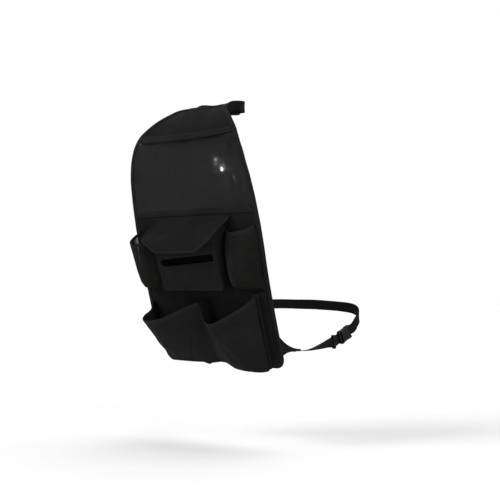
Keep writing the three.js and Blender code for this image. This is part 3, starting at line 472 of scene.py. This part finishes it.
def folded_tape(line, lay, lip, inside, clear, thick, step, closed=False):
    """Tape folded over an edge. line is the edge on the flat cloth, inside the thickness that it wraps."""
    count = int(evenly(line, 10, closed)[2] / step)
    edge, out, length = evenly(line, count, closed)
    radius = inside / 2 + clear + thick / 2
    middle = clear + thick / 2 - radius
    arc = [(middle + radius * math.sin(a), inside / 2 - radius * math.cos(a))
           for a in np.linspace(0, math.pi, 9)]
    low, high = inside / 2 - radius, inside / 2 + radius
    section, _, wide = evenly([(-lip, low), *arc, (-lip, high)], TAPE_STEPS)

    def place(u, v):
        i, j = round(u * count), round(v * TAPE_STEPS)
        across, off = section[j]
        pull = 0.0006 * noise.noise(Vector((i * step * 70, j * 0.3, 3.1)))
        grip = across + (pull if j in (0, TAPE_STEPS) else 0.0)
        return lay(edge[i][0] + out[i][0] * grip, edge[i][1] + out[i][1] * grip, off)

    def pucker(u, v):
        near = abs(2 * v - 1)
        return 0.00035 * near * noise.noise(Vector((u * length * 95, v * 2, 0.4)))

    def seam(u, v):
        return u * length, min(v, 1 - v) * wide

    return lay_cloth((count, TAPE_STEPS), (length, wide), place, pucker, seam=seam, closed=closed)


def panel_outline():
    """The panel's edge on the flat cloth, with points close together where it ends."""
    rows = PANEL_LENGTH * (1 - np.cos(np.linspace(0, math.pi, 900))) / 2
    left = [(-panel_half(s), s) for s in rows]
    return left + [(-x, s) for x, s in reversed(left)]


panel_tape = folded_tape(panel_outline(), drape, BIND_LIP, PANEL_THICK, BIND_CLEAR, BIND_THICK, 0.003,
                         closed=True)
make_piece("panel_binding", panel_tape, BINDING_TAPE, ["edge_binding"], BIND_THICK, 0.0, 0.3)


# The clear pocket: a sheet of clear film sewn in at both sides and its foot, with an open top that is
# taped with a folded band. It stands a little off the panel in its middle, as it does when it is full.
GAP = 0.0003
SEWN = PANEL_THICK + GAP
INSET = BIND_LIP + 0.0008
WINDOW_TOP = 0.090
WINDOW_SAG = 0.009
WINDOW_BOTTOM = 0.289
WINDOW_STAND = 0.012
BAND_HEIGHT = 0.013
BAND_THICK = 0.0016
BAND_LAP = 0.0004
FILM_THICK = 0.0005
FILM_IOR = 1.05
FILM_CELLS = (96, 110)
TAPE_HEIGHT = 0.010
TAPE_THICK = 0.001


def bell(u):
    """0 at both ends, and near 1 over the broad middle."""
    return 1 - (2 * u - 1) ** 4


def cloth_half(s):
    """Half width inside the binding's lip, which is measured square to the slanting outline."""
    slope = max(0.0, (panel_half(s) - panel_half(s - BIND_LIP)) / BIND_LIP)
    return panel_half(s) - INSET * math.hypot(1, slope)


def window_point(u, s, off):
    fall = max(0.0, (s - WINDOW_TOP) / (WINDOW_BOTTOM - WINDOW_TOP))
    stand = WINDOW_STAND * (1 - fall ** 2) * bell(u)
    return drape((2 * u - 1) * cloth_half(s), s, SEWN + off + stand)


def film_point(u, v):
    top = WINDOW_TOP + WINDOW_SAG * bell(u) + BAND_HEIGHT * 0.5
    return window_point(u, top + (WINDOW_BOTTOM - top) * v, 0.0)


def film_waves(u, v):
    """Slack film: long waves across, creases towards its sides, and short tugs beside the seams."""
    held = min(u, 1 - u, (1 - v) * 0.7) * 8
    long_wave = 0.0028 * (1.2 - v * v) * noise.noise(Vector((u * 5, v * 3.4, 8.0)))
    tug = 0.0005 * math.exp(-held) * math.sin(v * 70 + 4 * noise.noise(Vector((u * 9, v * 4, 2.0))))
    side = eased_step(abs(2 * u - 1), 0.45, 0.80)
    creased = 0.0006 * side * noise.noise(Vector((u * 46 + v * 5, v * 13, 4.6)))
    fine = 0.0002 * noise.noise(Vector((u * 22, v * 14, 4.0)))
    return ((long_wave + tug) * bell(u) + creased + fine) * min(1.0, (1 - v) * 12, v * 12)


def film_material():
    """Thin clear film. Its low index keeps the white surround from showing as grain in its waves."""
    material, tree = new_material("clear_film")
    place = add(tree, "ShaderNodeTexCoord").outputs["Object"]
    rough = ranged(tree, speckle(tree, place, 40.0, 4.0), 0.3, 0.8, 0.01, 0.06)
    drawn = add(tree, "ShaderNodeMapping", {"Vector": place, "Scale": (70.0, 70.0, 14.0)}).outputs[0]
    bump = bumped(tree, 0.5, 0.0013, speckle(tree, drawn, 1.0, 1.5, Distortion=0.8))
    surface(tree, {"Base Color": (0.97, 0.98, 0.985, 1), "Roughness": rough, "IOR": FILM_IOR,
                   "Transmission Weight": 1.0, "Normal": bump})
    return material


window_film = make_piece(
    "window_sheet", lay_cloth(FILM_CELLS, (0.33, 0.2), film_point, film_waves), film_material(),
    ["window_film"], FILM_THICK, soft_edge=0)
# Clear film lets the light through to the cloth behind it, and the small bulb shines on it.
window_film.visible_shadow = False
window_film.visible_diffuse = False
GLINTING.objects.link(window_film)


def band_point(u, v):
    return window_point(u, WINDOW_TOP + WINDOW_SAG * bell(u) + BAND_HEIGHT * v, -BAND_LAP)


def small_pucker(u, v):
    return 0.00012 * noise.noise(Vector((u * 60, v * 2, 6.0))) * abs(2 * v - 1)


def strip_seam(length, height):
    return lambda u, v: (u * length, min(v, 1 - v) * height)


make_piece(
    "window_band_tape",
    lay_cloth((150, 8), (0.28, BAND_HEIGHT), band_point, small_pucker,
              seam=strip_seam(0.28, BAND_HEIGHT)),
    BINDING_TAPE, ["window_band"], BAND_THICK + BAND_LAP)


def foot_tape_point(u, v):
    return window_point(u, WINDOW_BOTTOM + TAPE_HEIGHT * (v - 1), FILM_THICK)


make_piece(
    "window_foot_tape",
    lay_cloth((150, 6), (0.37, TAPE_HEIGHT), foot_tape_point, small_pucker,
              seam=strip_seam(0.37, TAPE_HEIGHT)),
    BINDING_TAPE, ["window_tape"], TAPE_THICK + GAP)


# The tissue pocket: one long strip bent round as its sides and bottom, and a front cloth with a long slot.
# The front laps the strip all round and is stitched there, and the slot's edge is rolled inward.
CLOTH = 0.0015
BOX_HALF = 0.095
BOX_STAND = 0.057
BOX_FOOT_STAND = 0.046
BOX_BULGE = 0.003
BOX_FRONT_TOP = 0.323
BOX_REAR_TOP = 0.304
BOX_BOTTOM = 0.462
BOX_CORNER = 0.009
SLOT_LENGTH = 0.170
SLOT_HEIGHT = 0.017
SLOT_DOWN = 0.389
SLOT_TILT = math.radians(4)
GUSSET_STEPS = 160
GUSSET_DEPTHS = 16


def box_stand(s):
    """How far the pocket's front stands off the panel."""
    share = (s - BOX_FRONT_TOP) / (BOX_BOTTOM - BOX_FRONT_TOP)
    return BOX_STAND + (BOX_FOOT_STAND - BOX_STAND) * share


def gusset_line():
    """Where the bent strip runs, seen from the front, with its share of the slanted top."""
    turn = BOX_BOTTOM - BOX_CORNER
    side = [(-BOX_HALF, BOX_FRONT_TOP + (turn - BOX_FRONT_TOP) * t, 1 - t) for t in np.linspace(0, 1, 12)]
    bend = [(-BOX_HALF + BOX_CORNER * (1 - math.cos(a)), turn + BOX_CORNER * math.sin(a), 0.0)
            for a in np.linspace(0, math.pi / 2, 8)[1:]]
    left = side + bend
    return left + [(-x, s, k) for x, s, k in reversed(left)]


GUSSET, _, gusset_length = evenly(gusset_line(), GUSSET_STEPS)


def gusset_point(u, v):
    x, s, slant = GUSSET[round(u * GUSSET_STEPS)]
    off = SEWN + (box_stand(s) - SEWN) * v
    return drape(x, s + slant * (BOX_REAR_TOP - BOX_FRONT_TOP) * (1 - v), off)


def gusset_slack(u, v):
    return 0.0016 * math.sin(math.pi * v) * noise.noise(Vector((u * 16, v * 2, 9.0)))


box_sides = make_piece(
    "pocket_side_strip",
    lay_cloth((GUSSET_STEPS, GUSSET_DEPTHS), (gusset_length, BOX_STAND), gusset_point, gusset_slack),
    BLACK_CLOTH, ["box_gusset"], CLOTH)


def frame_edges():
    """The front cloth's outer edge and its slot, side by side, each as top, right, bottom and left."""
    half, top, foot = BOX_HALF + CLOTH, BOX_FRONT_TOP, BOX_BOTTOM + CLOTH
    turn = BOX_CORNER + CLOTH
    bend = [(half - turn * (1 - math.cos(a)), foot - turn + turn * math.sin(a))
            for a in np.linspace(0, math.pi / 2, 7)]
    other = [(-x, s) for x, s in reversed(bend)]
    outer = [[(-half, top), (half, top)], [(half, top), *bend[:4]], [*bend[3:], *other[:4]],
             [*other[3:], (-half, top)]]
    long_half, r = SLOT_LENGTH / 2 - SLOT_HEIGHT / 2, SLOT_HEIGHT / 2
    cap = [(long_half + r * math.sin(a), -r * math.cos(a)) for a in np.linspace(0, math.pi, 13)]
    slot = [[(-long_half, -r), (long_half, -r)], cap, [(long_half, r), (-long_half, r)],
            [(-x, s) for x, s in reversed(cap)]]
    c, n = math.cos(SLOT_TILT), math.sin(SLOT_TILT)
    turned = [[(x * c + s * n, SLOT_DOWN - x * n + s * c) for x, s in side] for side in slot]
    return outer, turned


SIDE_CELLS = (64, 22, 64, 22)
OUTER_EDGE, SLOT_EDGE = ([p for side, count in zip(edge, SIDE_CELLS) for p in evenly(side, count)[0][:-1]]
                         for edge in frame_edges())
AROUND = sum(SIDE_CELLS)
FRONT_RINGS = 26


def front_flat(u, v):
    """The front on the flat cloth: u runs round the slot, and v from the slot to the outer edge."""
    i = round(u * AROUND) % AROUND
    return SLOT_EDGE[i] + (OUTER_EDGE[i] - SLOT_EDGE[i]) * v


def front_point(u, v):
    x, s = front_flat(u, v)
    across = min(1.0, max(0.0, (x / (BOX_HALF + CLOTH) + 1) / 2))
    down = min(1.0, max(0.0, (s - BOX_FRONT_TOP) / (BOX_BOTTOM + CLOTH - BOX_FRONT_TOP)))
    bulge = BOX_BULGE * bell(across) * math.sin(math.pi * down)
    rolled = 0.004 * math.exp(-v * 14)
    return drape(x, s, box_stand(s) + bulge - rolled)


def front_slack(u, v):
    x, s = front_flat(u, v)
    loose = min(1.0, v * 5) * min(1.0, (1 - v) * 7)
    broad = noise.noise(Vector((x * 22, s * 26, 3.3)))
    fine = noise.noise(Vector((x * 60 + s * 30, s * 50, 7.7)))
    return 0.0022 * loose * broad + 0.0008 * loose * fine


def front_seam(u, v):
    i = round(u * AROUND) % AROUND
    wide = float(np.linalg.norm(OUTER_EDGE[i] - SLOT_EDGE[i]))
    return u * (0.36 if v < 0.5 else 0.7), min(v, 1 - v) * wide


box_front = make_piece(
    "pocket_front", lay_cloth((AROUND, FRONT_RINGS), (0, 0), front_point, front_slack,
                              weave=lambda u, v: tuple(front_flat(u, v)), seam=front_seam, closed=True),
    BLACK_CLOTH, ["box_front"], CLOTH)


# The lid: a stiff flap of the same cloth, sewn along its top and bent down over the tissue pocket.
# Its free edge is bound with a narrow folded tape, and its sides slant in to a straight foot.
LID_THICK = 0.0018
# The way down the panel and the height off it, along the lid's middle
LID_PATH = ((0.2926, SEWN), (0.297, 0.0048), (0.304, 0.018), (0.311, 0.034), (0.318, 0.052), (0.3235, 0.064),
            (0.3285, 0.073), (0.334, 0.0784), (0.340, 0.0801), (0.346, 0.0814), (0.352, 0.0827),
            (0.359, 0.0841), (0.363, 0.0848))
LID_HALF = ((0.292, 0.117), (0.328, 0.1125), (0.334, 0.1105), (0.336, 0.1075), (0.340, 0.101), (0.356, 0.075),
            (0.359, 0.0695), (0.3615, 0.064), (0.363, 0.056))
LID_LIP = 0.005
LID_TAPE_THICK = 0.0008
LID_TAPE_CLEAR = 0.0003
LID_CELLS = (70, 60)


def flowing(rows):
    """A smooth line through rows of numbers. It is read by the share of its length, from 0 to 1."""
    rows = np.array(rows, float)
    steps = np.linalg.norm(np.diff(rows, axis=0), axis=1)
    at = np.concatenate([[0], np.cumsum(steps)]) / steps.sum()
    slopes = np.gradient(rows, at, axis=0)

    def read(t):
        i = int(np.clip(np.searchsorted(at, t) - 1, 0, len(at) - 2))
        h = at[i + 1] - at[i]
        k = (t - at[i]) / h
        return (rows[i] * (1 + 2 * k) * (1 - k) ** 2 + slopes[i] * h * k * (1 - k) ** 2
                + rows[i + 1] * k * k * (3 - 2 * k) + slopes[i + 1] * h * k * k * (k - 1))

    return read, float(steps.sum())


LID_LINE, LID_RUN = flowing(LID_PATH)


def lid_point(x, run, height):
    """A point of the lid by its place across, the way down its cloth and the height above it."""
    share = run / LID_RUN
    s, off = LID_LINE(share)
    along = LID_LINE(min(1.0, share + 0.01)) - LID_LINE(max(0.0, share - 0.01))
    along /= np.linalg.norm(along)
    droop = 0.002 * (x / 0.1) ** 2 * share + 0.0014 * share * noise.noise(Vector((x * 20, run * 24, 4.4)))
    return drape(x, s - along[1] * (height - droop), off + along[0] * (height - droop))


def lid_edge_half(run):
    s = LID_LINE(run / LID_RUN)[0]
    return float(np.interp(s, [row[0] for row in LID_HALF], [row[1] for row in LID_HALF]))


def lid_grid_point(u, v):
    run = v * LID_RUN
    return lid_point((2 * u - 1) * (lid_edge_half(run) - 0.0006), run, 0.0)


box_lid = make_piece(
    "pocket_lid", lay_cloth(LID_CELLS, (0.23, LID_RUN), lid_grid_point), BLACK_CLOTH,
    ["box_lid"], LID_THICK)


def lid_outline():
    """The lid's free edge, down its left side and up its right."""
    runs = np.linspace(0.004, LID_RUN, 90)
    right = [(lid_edge_half(run), run) for run in runs]
    return [(-x, run) for x, run in right] + [(x, run) for x, run in reversed(right)]


lid_fold = folded_tape(lid_outline(), lid_point, LID_LIP, LID_THICK, LID_TAPE_CLEAR, LID_TAPE_THICK, 0.002)
make_piece("lid_tape", lid_fold, BINDING_TAPE, ["lid_binding"], LID_TAPE_THICK, 0.0, 0.3)


# The net pockets: knitted diamond mesh sewn down both sides and along the foot, with an elastic tape
# along the mouth. Both stand out as round pouches, and the left one, which is fuller, stands out further.
NET_IN = 0.100
NET_OUT = 0.185
NET_THICK = 0.0016
NET_RIM = 0.009
NET_RIM_THICK = 0.0022
NET_BOTTOM = 0.469
NET_CELL = 0.0048
NET_CELL_TALL = 1.15
NET_ROUND = 0.052
NET_BLACK = (0.0118, 0.0112, 0.0105, 1)
NET_RUBBED = (0.0225, 0.021, 0.0195, 1)
# Side, strand, rim down, tilt and dip of the rim, and how far the pouch stands out down its height
NETS = {
    "right": (1, 0.0017, 0.3215, -0.011, 0.008, (
        (0, 0.024), (0.18, 0.036), (0.36, 0.047), (0.6, 0.051), (0.8, 0.049), (0.9, 0.041),
        (0.96, 0.027), (1, 0.002))),
    "left": (-1, 0.0026, 0.323, 0.0, 0.018, (
        (0, 0.076), (0.3, 0.069), (0.6, 0.063), (0.8, 0.056), (0.9, 0.046), (0.96, 0.030), (1, 0.002))),
}


def net_point(pouch, u, down, t, inward):
    """A point of the pouch: u goes round it, t from down below its rim to its foot."""
    side, _, rim, tilt, dip, stand = pouch
    turn = math.pi * u
    top = rim + tilt * (u - 0.5) + dip * math.sin(turn) + down
    s = top + (NET_BOTTOM - top) * t
    share = (s - rim) / (NET_BOTTOM - rim)
    bulge = float(np.interp(share, [row[0] for row in stand], [row[1] for row in stand])) - inward
    x = side * (NET_OUT + NET_IN) / 2 - ((NET_OUT - NET_IN) / 2 - inward) * math.cos(turn)
    return drape(x, s, SEWN + max(0.0002, bulge) * math.sin(turn))


def net_mesh(pouch):
    """Diamond net: the middle of each flat cell is joined to its corners and the cell's sides go."""
    across = int(math.pi * NET_ROUND / NET_CELL)
    down = int((NET_BOTTOM - pouch[2]) / (NET_CELL * NET_CELL_TALL))
    bm = bmesh.new()
    bmesh.ops.create_grid(bm, x_segments=across, y_segments=down, size=0.5)
    sides = [edge for edge in bm.edges if not edge.is_boundary]
    bmesh.ops.poke(bm, faces=bm.faces[:])
    bmesh.ops.dissolve_edges(bm, edges=sides, use_verts=False)
    for vert in bm.verts:
        u, v = vert.co.x + 0.5, 0.5 - vert.co.y
        vert.co = net_point(pouch, u, NET_RIM * 0.6, v, NET_THICK / 2)
    bm.normal_update()
    bmesh.ops.wireframe(bm, faces=bm.faces[:], thickness=pouch[1], use_replace=True, use_boundary=True,
                        use_even_offset=False)
    return bm


def net_material():
    material, tree = new_material("knitted_net")
    place = add(tree, "ShaderNodeTexCoord").outputs["Object"]
    tone = use(tree, UNEVEN_DYE, {"Place": place, "Dye": NET_BLACK, "Rubbed": NET_RUBBED, "Amount": 0.7})
    twist = add(tree, "ShaderNodeTexWave", {"Vector": place, "Scale": 420.0, "Distortion": 6.0},
                bands_direction="DIAGONAL")
    surface(tree, {"Base Color": tone["Color"], "Roughness": tone["Roughness"],
                   "Normal": bumped(tree, 0.7, 0.0002, twist.outputs[1]), "Specular IOR Level": 0.1})
    return material


KNITTED_NET = net_material()


def net_rim_mesh(pouch):
    def place(u, v):
        return net_point(pouch, u, NET_RIM * v, 0.0, NET_RIM_THICK)

    def gather(u, v):
        return 0.0005 * math.sin(u * 95 + 3 * noise.noise(Vector((u * 8, v, 1.0)))) * (0.4 + 0.6 * v)

    return lay_cloth((96, 6), (0.16, NET_RIM), place, gather, seam=strip_seam(0.16, NET_RIM))


for label, pouch in NETS.items():
    make_piece(f"net_{label}", net_mesh(pouch), KNITTED_NET, [f"net_pocket_{label}"])
    make_piece(f"net_rim_tape_{label}", net_rim_mesh(pouch), BINDING_TAPE, [f"net_rim_{label}"],
               NET_RIM_THICK)


# The lower pockets: two wide cloths pleated at their outer sides and folded under at the foot, with a
# taped mouth each. The right one stands open and deep, the left one is pushed out towards its outer side.
LOWER_RIM = 0.010
LOWER_RIM_THICK = 0.002
LOWER_WIDTH = 0.24
LOWER_WIDEST = 0.1838
CORNER_FROM = 0.150
FOOT_START = PANEL_LENGTH - 0.016
# The way down from the foot's start, how much of the hang it takes, and the share of the foot's stand
FOOT_FOLD = ((0.0, 0.0, 1.0), (0.0022, 0.68, 0.92), (0.0034, 1.0, 0.68), (0.0039, 0.3, 0.38),
             (0.0042, 0.05, 0.1), (0.0046, 0.0, 0.0))
FOOT_HANG = eased(((-0.180, 0.003), (-0.070, 0.002), (-0.030, 0.0125), (-0.004, 0.001), (0.004, 0.001),
                   (0.069, 0.009), (0.160, 0.009), (0.180, 0.009)), 0.010)
# The columns of each front from the centre out: across, rim down, rim off, foot off and foot across
LOWER_RIGHT = (
    (0.0002, 0.496, 0.041, 0.011), (0.007, 0.507, 0.045, 0.012), (0.015, 0.522, 0.050, 0.014),
    (0.025, 0.536, 0.054, 0.018), (0.035, 0.539, 0.059, 0.022), (0.050, 0.538, 0.064, 0.029),
    (0.065, 0.534, 0.065, 0.036), (0.082, 0.528, 0.065, 0.042), (0.100, 0.521, 0.063, 0.046),
    (0.120, 0.512, 0.059, 0.048), (0.138, 0.504, 0.053, 0.048), (0.155, 0.494, 0.047, 0.046),
    (0.166, 0.487, 0.042, 0.041, 0.168), (0.173, 0.482, 0.036, 0.035, 0.173),
    (0.170, 0.480, 0.030, 0.030, 0.1715), (0.156, 0.479, 0.024, 0.024, 0.163),
    (0.170, 0.478, 0.0175, 0.017, 0.1755), (0.162, 0.478, 0.010, 0.009, 0.172),
    (LOWER_WIDEST, 0.478, SEWN, SEWN))
LOWER_LEFT = (
    (0.0002, 0.494, 0.041, 0.011), (0.010, 0.496, 0.046, 0.011), (0.025, 0.500, 0.054, 0.012),
    (0.040, 0.505, 0.062, 0.012), (0.060, 0.512, 0.071, 0.013), (0.080, 0.519, 0.078, 0.013),
    (0.100, 0.524, 0.082, 0.014), (0.120, 0.527, 0.083, 0.015), (0.140, 0.529, 0.081, 0.015),
    (0.155, 0.530, 0.077, 0.013), (0.166, 0.530, 0.069, 0.011, 0.165),
    (0.174, 0.528, 0.059, 0.010, 0.1695), (0.178, 0.526, 0.050, 0.009, 0.1735),
    (0.168, 0.515, 0.032, 0.008, 0.177), (0.174, 0.506, 0.018, 0.006, 0.1805),
    (LOWER_WIDEST, 0.500, SEWN, SEWN))
STRAIGHT_SHARE = 0.82


def lower_columns(rows, side):
    """The pocket's columns as one smooth run from its left to its right."""
    full = [(x * side, rim, off, foot, (rest[0] if rest else x) * side) for x, rim, off, foot, *rest in rows]
    return flowing(full if side > 0 else full[::-1])[0]


LOWER = {"right": (lower_columns(LOWER_RIGHT, 1), 1), "left": (lower_columns(LOWER_LEFT, -1), -1)}
# The fold is smoothed with its way down and its drop scaled to suit its share.
DOWN_SCALE = 10
DROP_SCALE = 0.06
FOLD_LINE = flowing([(down * DOWN_SCALE, drop * DROP_SCALE, share) for down, drop, share in FOOT_FOLD])[0]


def corner_in(x, s):
    """The outer columns draw in beside the panel's rounded corner."""
    if abs(x) <= CORNER_FROM:
        return x
    radius = BOTTOM_CORNER - INSET - CLOTH - GAP
    into = max(0.0, s - (PANEL_LENGTH - BOTTOM_CORNER))
    limit = HALF_WIDTH[-1][1] - BOTTOM_CORNER + math.sqrt(max(0.0, radius ** 2 - into ** 2))
    share = min(1.0, (limit - CORNER_FROM) / (LOWER_WIDEST - CORNER_FROM))
    return math.copysign(CORNER_FROM + (abs(x) - CORNER_FROM) * share, x)


def lower_point(columns, u, down, t, off_by=0.0):
    """A point of a front: u across it, t from down below its rim to the end of its folded foot."""
    x, rim, rim_off, foot_off, foot_x = columns(u)
    if t <= STRAIGHT_SHARE:
        top = rim + down
        s = top + (FOOT_START - top) * t / STRAIGHT_SHARE
        share = (s - rim) / (FOOT_START - rim)
        return drape(x, s, rim_off + (foot_off - rim_off) * share + off_by)
    down, drop, share = FOLD_LINE((t - STRAIGHT_SHARE) / (1 - STRAIGHT_SHARE))
    s = FOOT_START + down / DOWN_SCALE
    hang = float(np.interp(x, *FOOT_HANG)) * min(1.0, (foot_off - SEWN) / 0.008) * drop / DROP_SCALE
    share = min(1.0, max(0.0, share))
    return drape(corner_in(foot_x + (x - foot_x) * share, s), s + hang, SEWN + (foot_off - SEWN) * share)


def pocket_creases(side):
    """Slack cloth: soft vertical folds, and drags that run from the mouth to the middle of the foot."""
    def relief(u, v):
        body = min(1.0, v * 6) * min(1.0, max(0.0, (0.86 - v) * 9))
        ends = min(1.0, u * 10) * min(1.0, (1 - u) * 5)
        across = u if side > 0 else 1 - u
        soft = 0.0028 * noise.noise(Vector((across * 5 - v * 1.8, v * 2.2, side * 2.0)))
        drag = 0.0016 * noise.noise(Vector((across * 15 - v * 6, v * 4, side * 5.0)))
        return body * ends * (soft + drag)
    return relief


for label, (columns, side) in LOWER.items():
    def front(u, v, columns=columns):
        return lower_point(columns, u, 0.003, v)

    def mouth(u, v, columns=columns):
        return lower_point(columns, u, LOWER_RIM * v, 0.0, -0.0003)

    pocket = make_piece(
        f"lower_front_{label}", lay_cloth((120, 64), (LOWER_WIDTH, 0.17), front, pocket_creases(side)),
        BLACK_CLOTH, [f"lower_pocket_{label}"], CLOTH)
    make_piece(
        f"lower_mouth_tape_{label}",
        lay_cloth((140, 6), (LOWER_WIDTH, LOWER_RIM), mouth, small_pucker,
                  seam=strip_seam(LOWER_WIDTH, LOWER_RIM)),
        BINDING_TAPE, [f"lower_rim_{label}"], LOWER_RIM_THICK + 0.0002)


def divider_point(u, v):
    _, rim, rim_off, foot_off = LOWER_RIGHT[0]
    front = rim_off + (foot_off - rim_off) * v - 2 * GAP
    return drape(0.0, rim + (FOOT_START - rim) * v * 0.99, SEWN + (front - SEWN) * u)


divider = make_piece(
    "pocket_divider", lay_cloth((12, 40), (0.04, 0.15), divider_point), BLACK_CLOTH,
    ["lower_divider"], 0.0014, 0.0)


# The straps: flat polyester webbing with a slightly uneven face. A pair leaves the panel's sides and
# goes round the seat, a pair holds the top at the headrest, and a cross band is sewn behind the top.
WEB_WIDTH = 0.025
WEB_THICK = 0.0015
# Way along a seat strap from its tab, and its turn there in degrees
TWIST = ((0.0, 0.012, 0.030, 0.055, 0.085, 0.110, 0.125), (74, 86, 84, 68, 45, 24, 6))
WEB_BLACK = (0.0046, 0.0046, 0.0047, 1)
WEB_RUBBED = (0.0082, 0.0082, 0.0085, 1)
WEB_THREAD = 0.0011
WEB_STEP = 0.003
STRAP_WEBBING = cloth_material("strap_webbing", WEB_BLACK, WEB_RUBBED, WEB_THREAD, stretch=1.6,
                               weave_depth=0.0004, gloss=0.06, crumple=0.0003)


def strap_rings(node):
    """Middle, width direction and running length of a strap, read ring by ring from its solid."""
    bm = bmesh.new()
    bm.from_mesh(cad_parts[node].data)
    bmesh.ops.remove_doubles(bm, verts=bm.verts[:], dist=1e-5)
    bm.verts.index_update()
    ends = [vert for vert in bm.verts if len(vert.link_edges) < 6]
    first = min(ends, key=lambda vert: vert.co.y)
    ring = set(sorted(ends, key=lambda vert: (vert.co - first.co).length)[:4])
    seen, middles, widths = set(), [], []
    while ring:
        seen |= ring
        points = [vert.co.copy() for vert in sorted(ring, key=lambda vert: vert.index)]
        corner = points[0]
        others = sorted(points[1:], key=lambda p: (p - corner).length)
        width = (others[1] - corner).normalized()
        if widths and width.dot(widths[-1]) < 0:
            width = -width
        middles.append(sum(points, Vector()) / 4)
        widths.append(width)
        ring = {edge.other_vert(vert) for vert in ring for edge in vert.link_edges} - seen
    bm.free()
    # The width points up, or to the left where the strap starts flat.
    if widths[0].z < widths[0].x:
        widths = [-width for width in widths]
    steps = [(b - a).length for a, b in zip(middles, middles[1:])]
    return np.array(middles), np.array(widths), np.concatenate([[0], np.cumsum(steps)])


def twisted(middles, widths, run):
    """Width directions of a seat strap whose first stretch is turned nearly flat where it leaves its tab."""
    along = np.gradient(middles, axis=0)
    along /= np.linalg.norm(along, axis=1)[:, None]
    turned = []
    for ahead, width, way in zip(along, widths, run):
        upright = np.array([0.0, 0.0, 1.0]) - ahead * ahead[2]
        upright /= np.linalg.norm(upright)
        turn = math.radians(np.interp(way, *TWIST))
        flat = np.cross(ahead, upright) * (1.0 if middles[0][0] > 0 else -1.0)
        mine = upright * math.cos(turn) + flat * math.sin(turn)
        share = eased_step(float(way), TWIST[0][-2], TWIST[0][-1])
        between = mine * (1 - share) + width * share
        turned.append(between / np.linalg.norm(between))
    return np.array(turned)


def strap_mesh(node):
    middles, widths, run = strap_rings(node)
    if node.startswith("seat"):
        widths = twisted(middles, widths, run)
    length = float(run[-1])
    cells = int(length / WEB_STEP)

    def place(u, v):
        at = v * length
        middle = Vector([np.interp(at, run, middles[:, k]) for k in range(3)])
        width = Vector([np.interp(at, run, widths[:, k]) for k in range(3)]).normalized()
        sway = 0.0008 * noise.noise(Vector((at * 18, u, 2.2)))
        return middle + width * (WEB_WIDTH * (u - 0.5) + sway)

    def uneven(u, v):
        return 0.0003 * noise.noise(Vector((u * 3, v * length * 40, 1.1)))

    return lay_cloth((10, cells), (WEB_WIDTH, length), place, uneven)


for node in ("seat_strap_right", "seat_strap_left", "headrest_strap_left", "headrest_strap_right"):
    make_piece(f"{node}_webbing", strap_mesh(node), STRAP_WEBBING, [node], WEB_THICK, 0.0)

HEAD_BAND_OFF = -(BIND_CLEAR + BIND_THICK + GAP + WEB_THICK)
HEAD_BAND_UP = 0.005
HEAD_BAND_HALF = 0.077


def head_band_point(u, v):
    s = -HEAD_BAND_UP + WEB_WIDTH * v
    return drape((2 * u - 1) * (HEAD_BAND_HALF + 0.2 * max(0.0, s)), s, HEAD_BAND_OFF)


make_piece(
    "headrest_cross_band",
    lay_cloth((60, 12), (0.156, WEB_WIDTH), head_band_point, seam=strip_seam(0.156, WEB_WIDTH)),
    STRAP_WEBBING, ["headrest_band"], WEB_THICK)


# The strap tabs: a doubled scrap of the panel's cloth at each side, gathered onto the webbing and sewn.
# It is wide at the panel's edge and draws in to the strap's own width, with the gathers showing.
TAB_TOP = 0.583
TAB_BOTTOM = 0.637
TAB_THICK = 0.002
TAB_LAP = 0.004


def tab_mesh(node, side):
    middles, widths, run = strap_rings(node)
    tip, width = Vector(middles[1]), Vector(twisted(middles, widths, run)[1])

    def place(u, v):
        s = TAB_TOP + (TAB_BOTTOM - TAB_TOP) * v
        root = drape(side * (panel_half(s) - TAB_LAP), s, -0.0002)
        end = tip + width * WEB_WIDTH * (0.5 - v) + Vector((side * 0.004 * u, 0.006 * u, 0.0))
        flare = 1 - (1 - u) ** 2
        point = root.lerp(end, flare)
        point.x, point.y = root.x + (end.x - root.x) * u, root.y + (end.y - root.y) * u
        return point

    def gathers(u, v):
        return 0.0016 * u * math.sin(v * 24 + 2 * u) * min(1.0, 4 * v, 4 * (1 - v))

    return lay_cloth((24, 30), (0.03, 0.05), place, gathers)


for label, side in (("right", 1), ("left", -1)):
    make_piece(f"tab_{label}", tab_mesh(f"seat_strap_{label}", side), BLACK_CLOTH,
               [f"strap_tab_{label}"], TAB_THICK, 0.0)


# The buckles and the keeper: injection moulded black acetal with a fine grain, shiny where it is handled.
# They come from the frame as they are, and only their finish is added here.
PLASTIC_BLACK = (0.0026, 0.0026, 0.0027, 1)
PLASTIC_HANDLED = (0.0058, 0.0058, 0.0060, 1)


def plastic_material():
    material, tree = new_material("moulded_black")
    place = add(tree, "ShaderNodeTexCoord").outputs["Object"]
    handled = speckle(tree, place, 90.0, 4.0)
    surface(tree, {"Base Color": mixed(tree, handled, PLASTIC_BLACK, PLASTIC_HANDLED),
                   "Roughness": ranged(tree, handled, 0.3, 0.7, 0.16, 0.34),
                   "Normal": bumped(tree, 0.25, 0.0001, speckle(tree, place, 2600.0, 2.0)),
                   "Specular IOR Level": 0.07})
    return material


MOULDED_BLACK = plastic_material()
for node in ("seat_strap_keeper", "seat_buckle_socket", "seat_buckle_plug", "headrest_buckle_socket",
             "headrest_buckle_plug"):
    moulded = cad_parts[node]
    moulded.material_slots[0].material = MOULDED_BLACK
    GLINTING.objects.link(moulded)
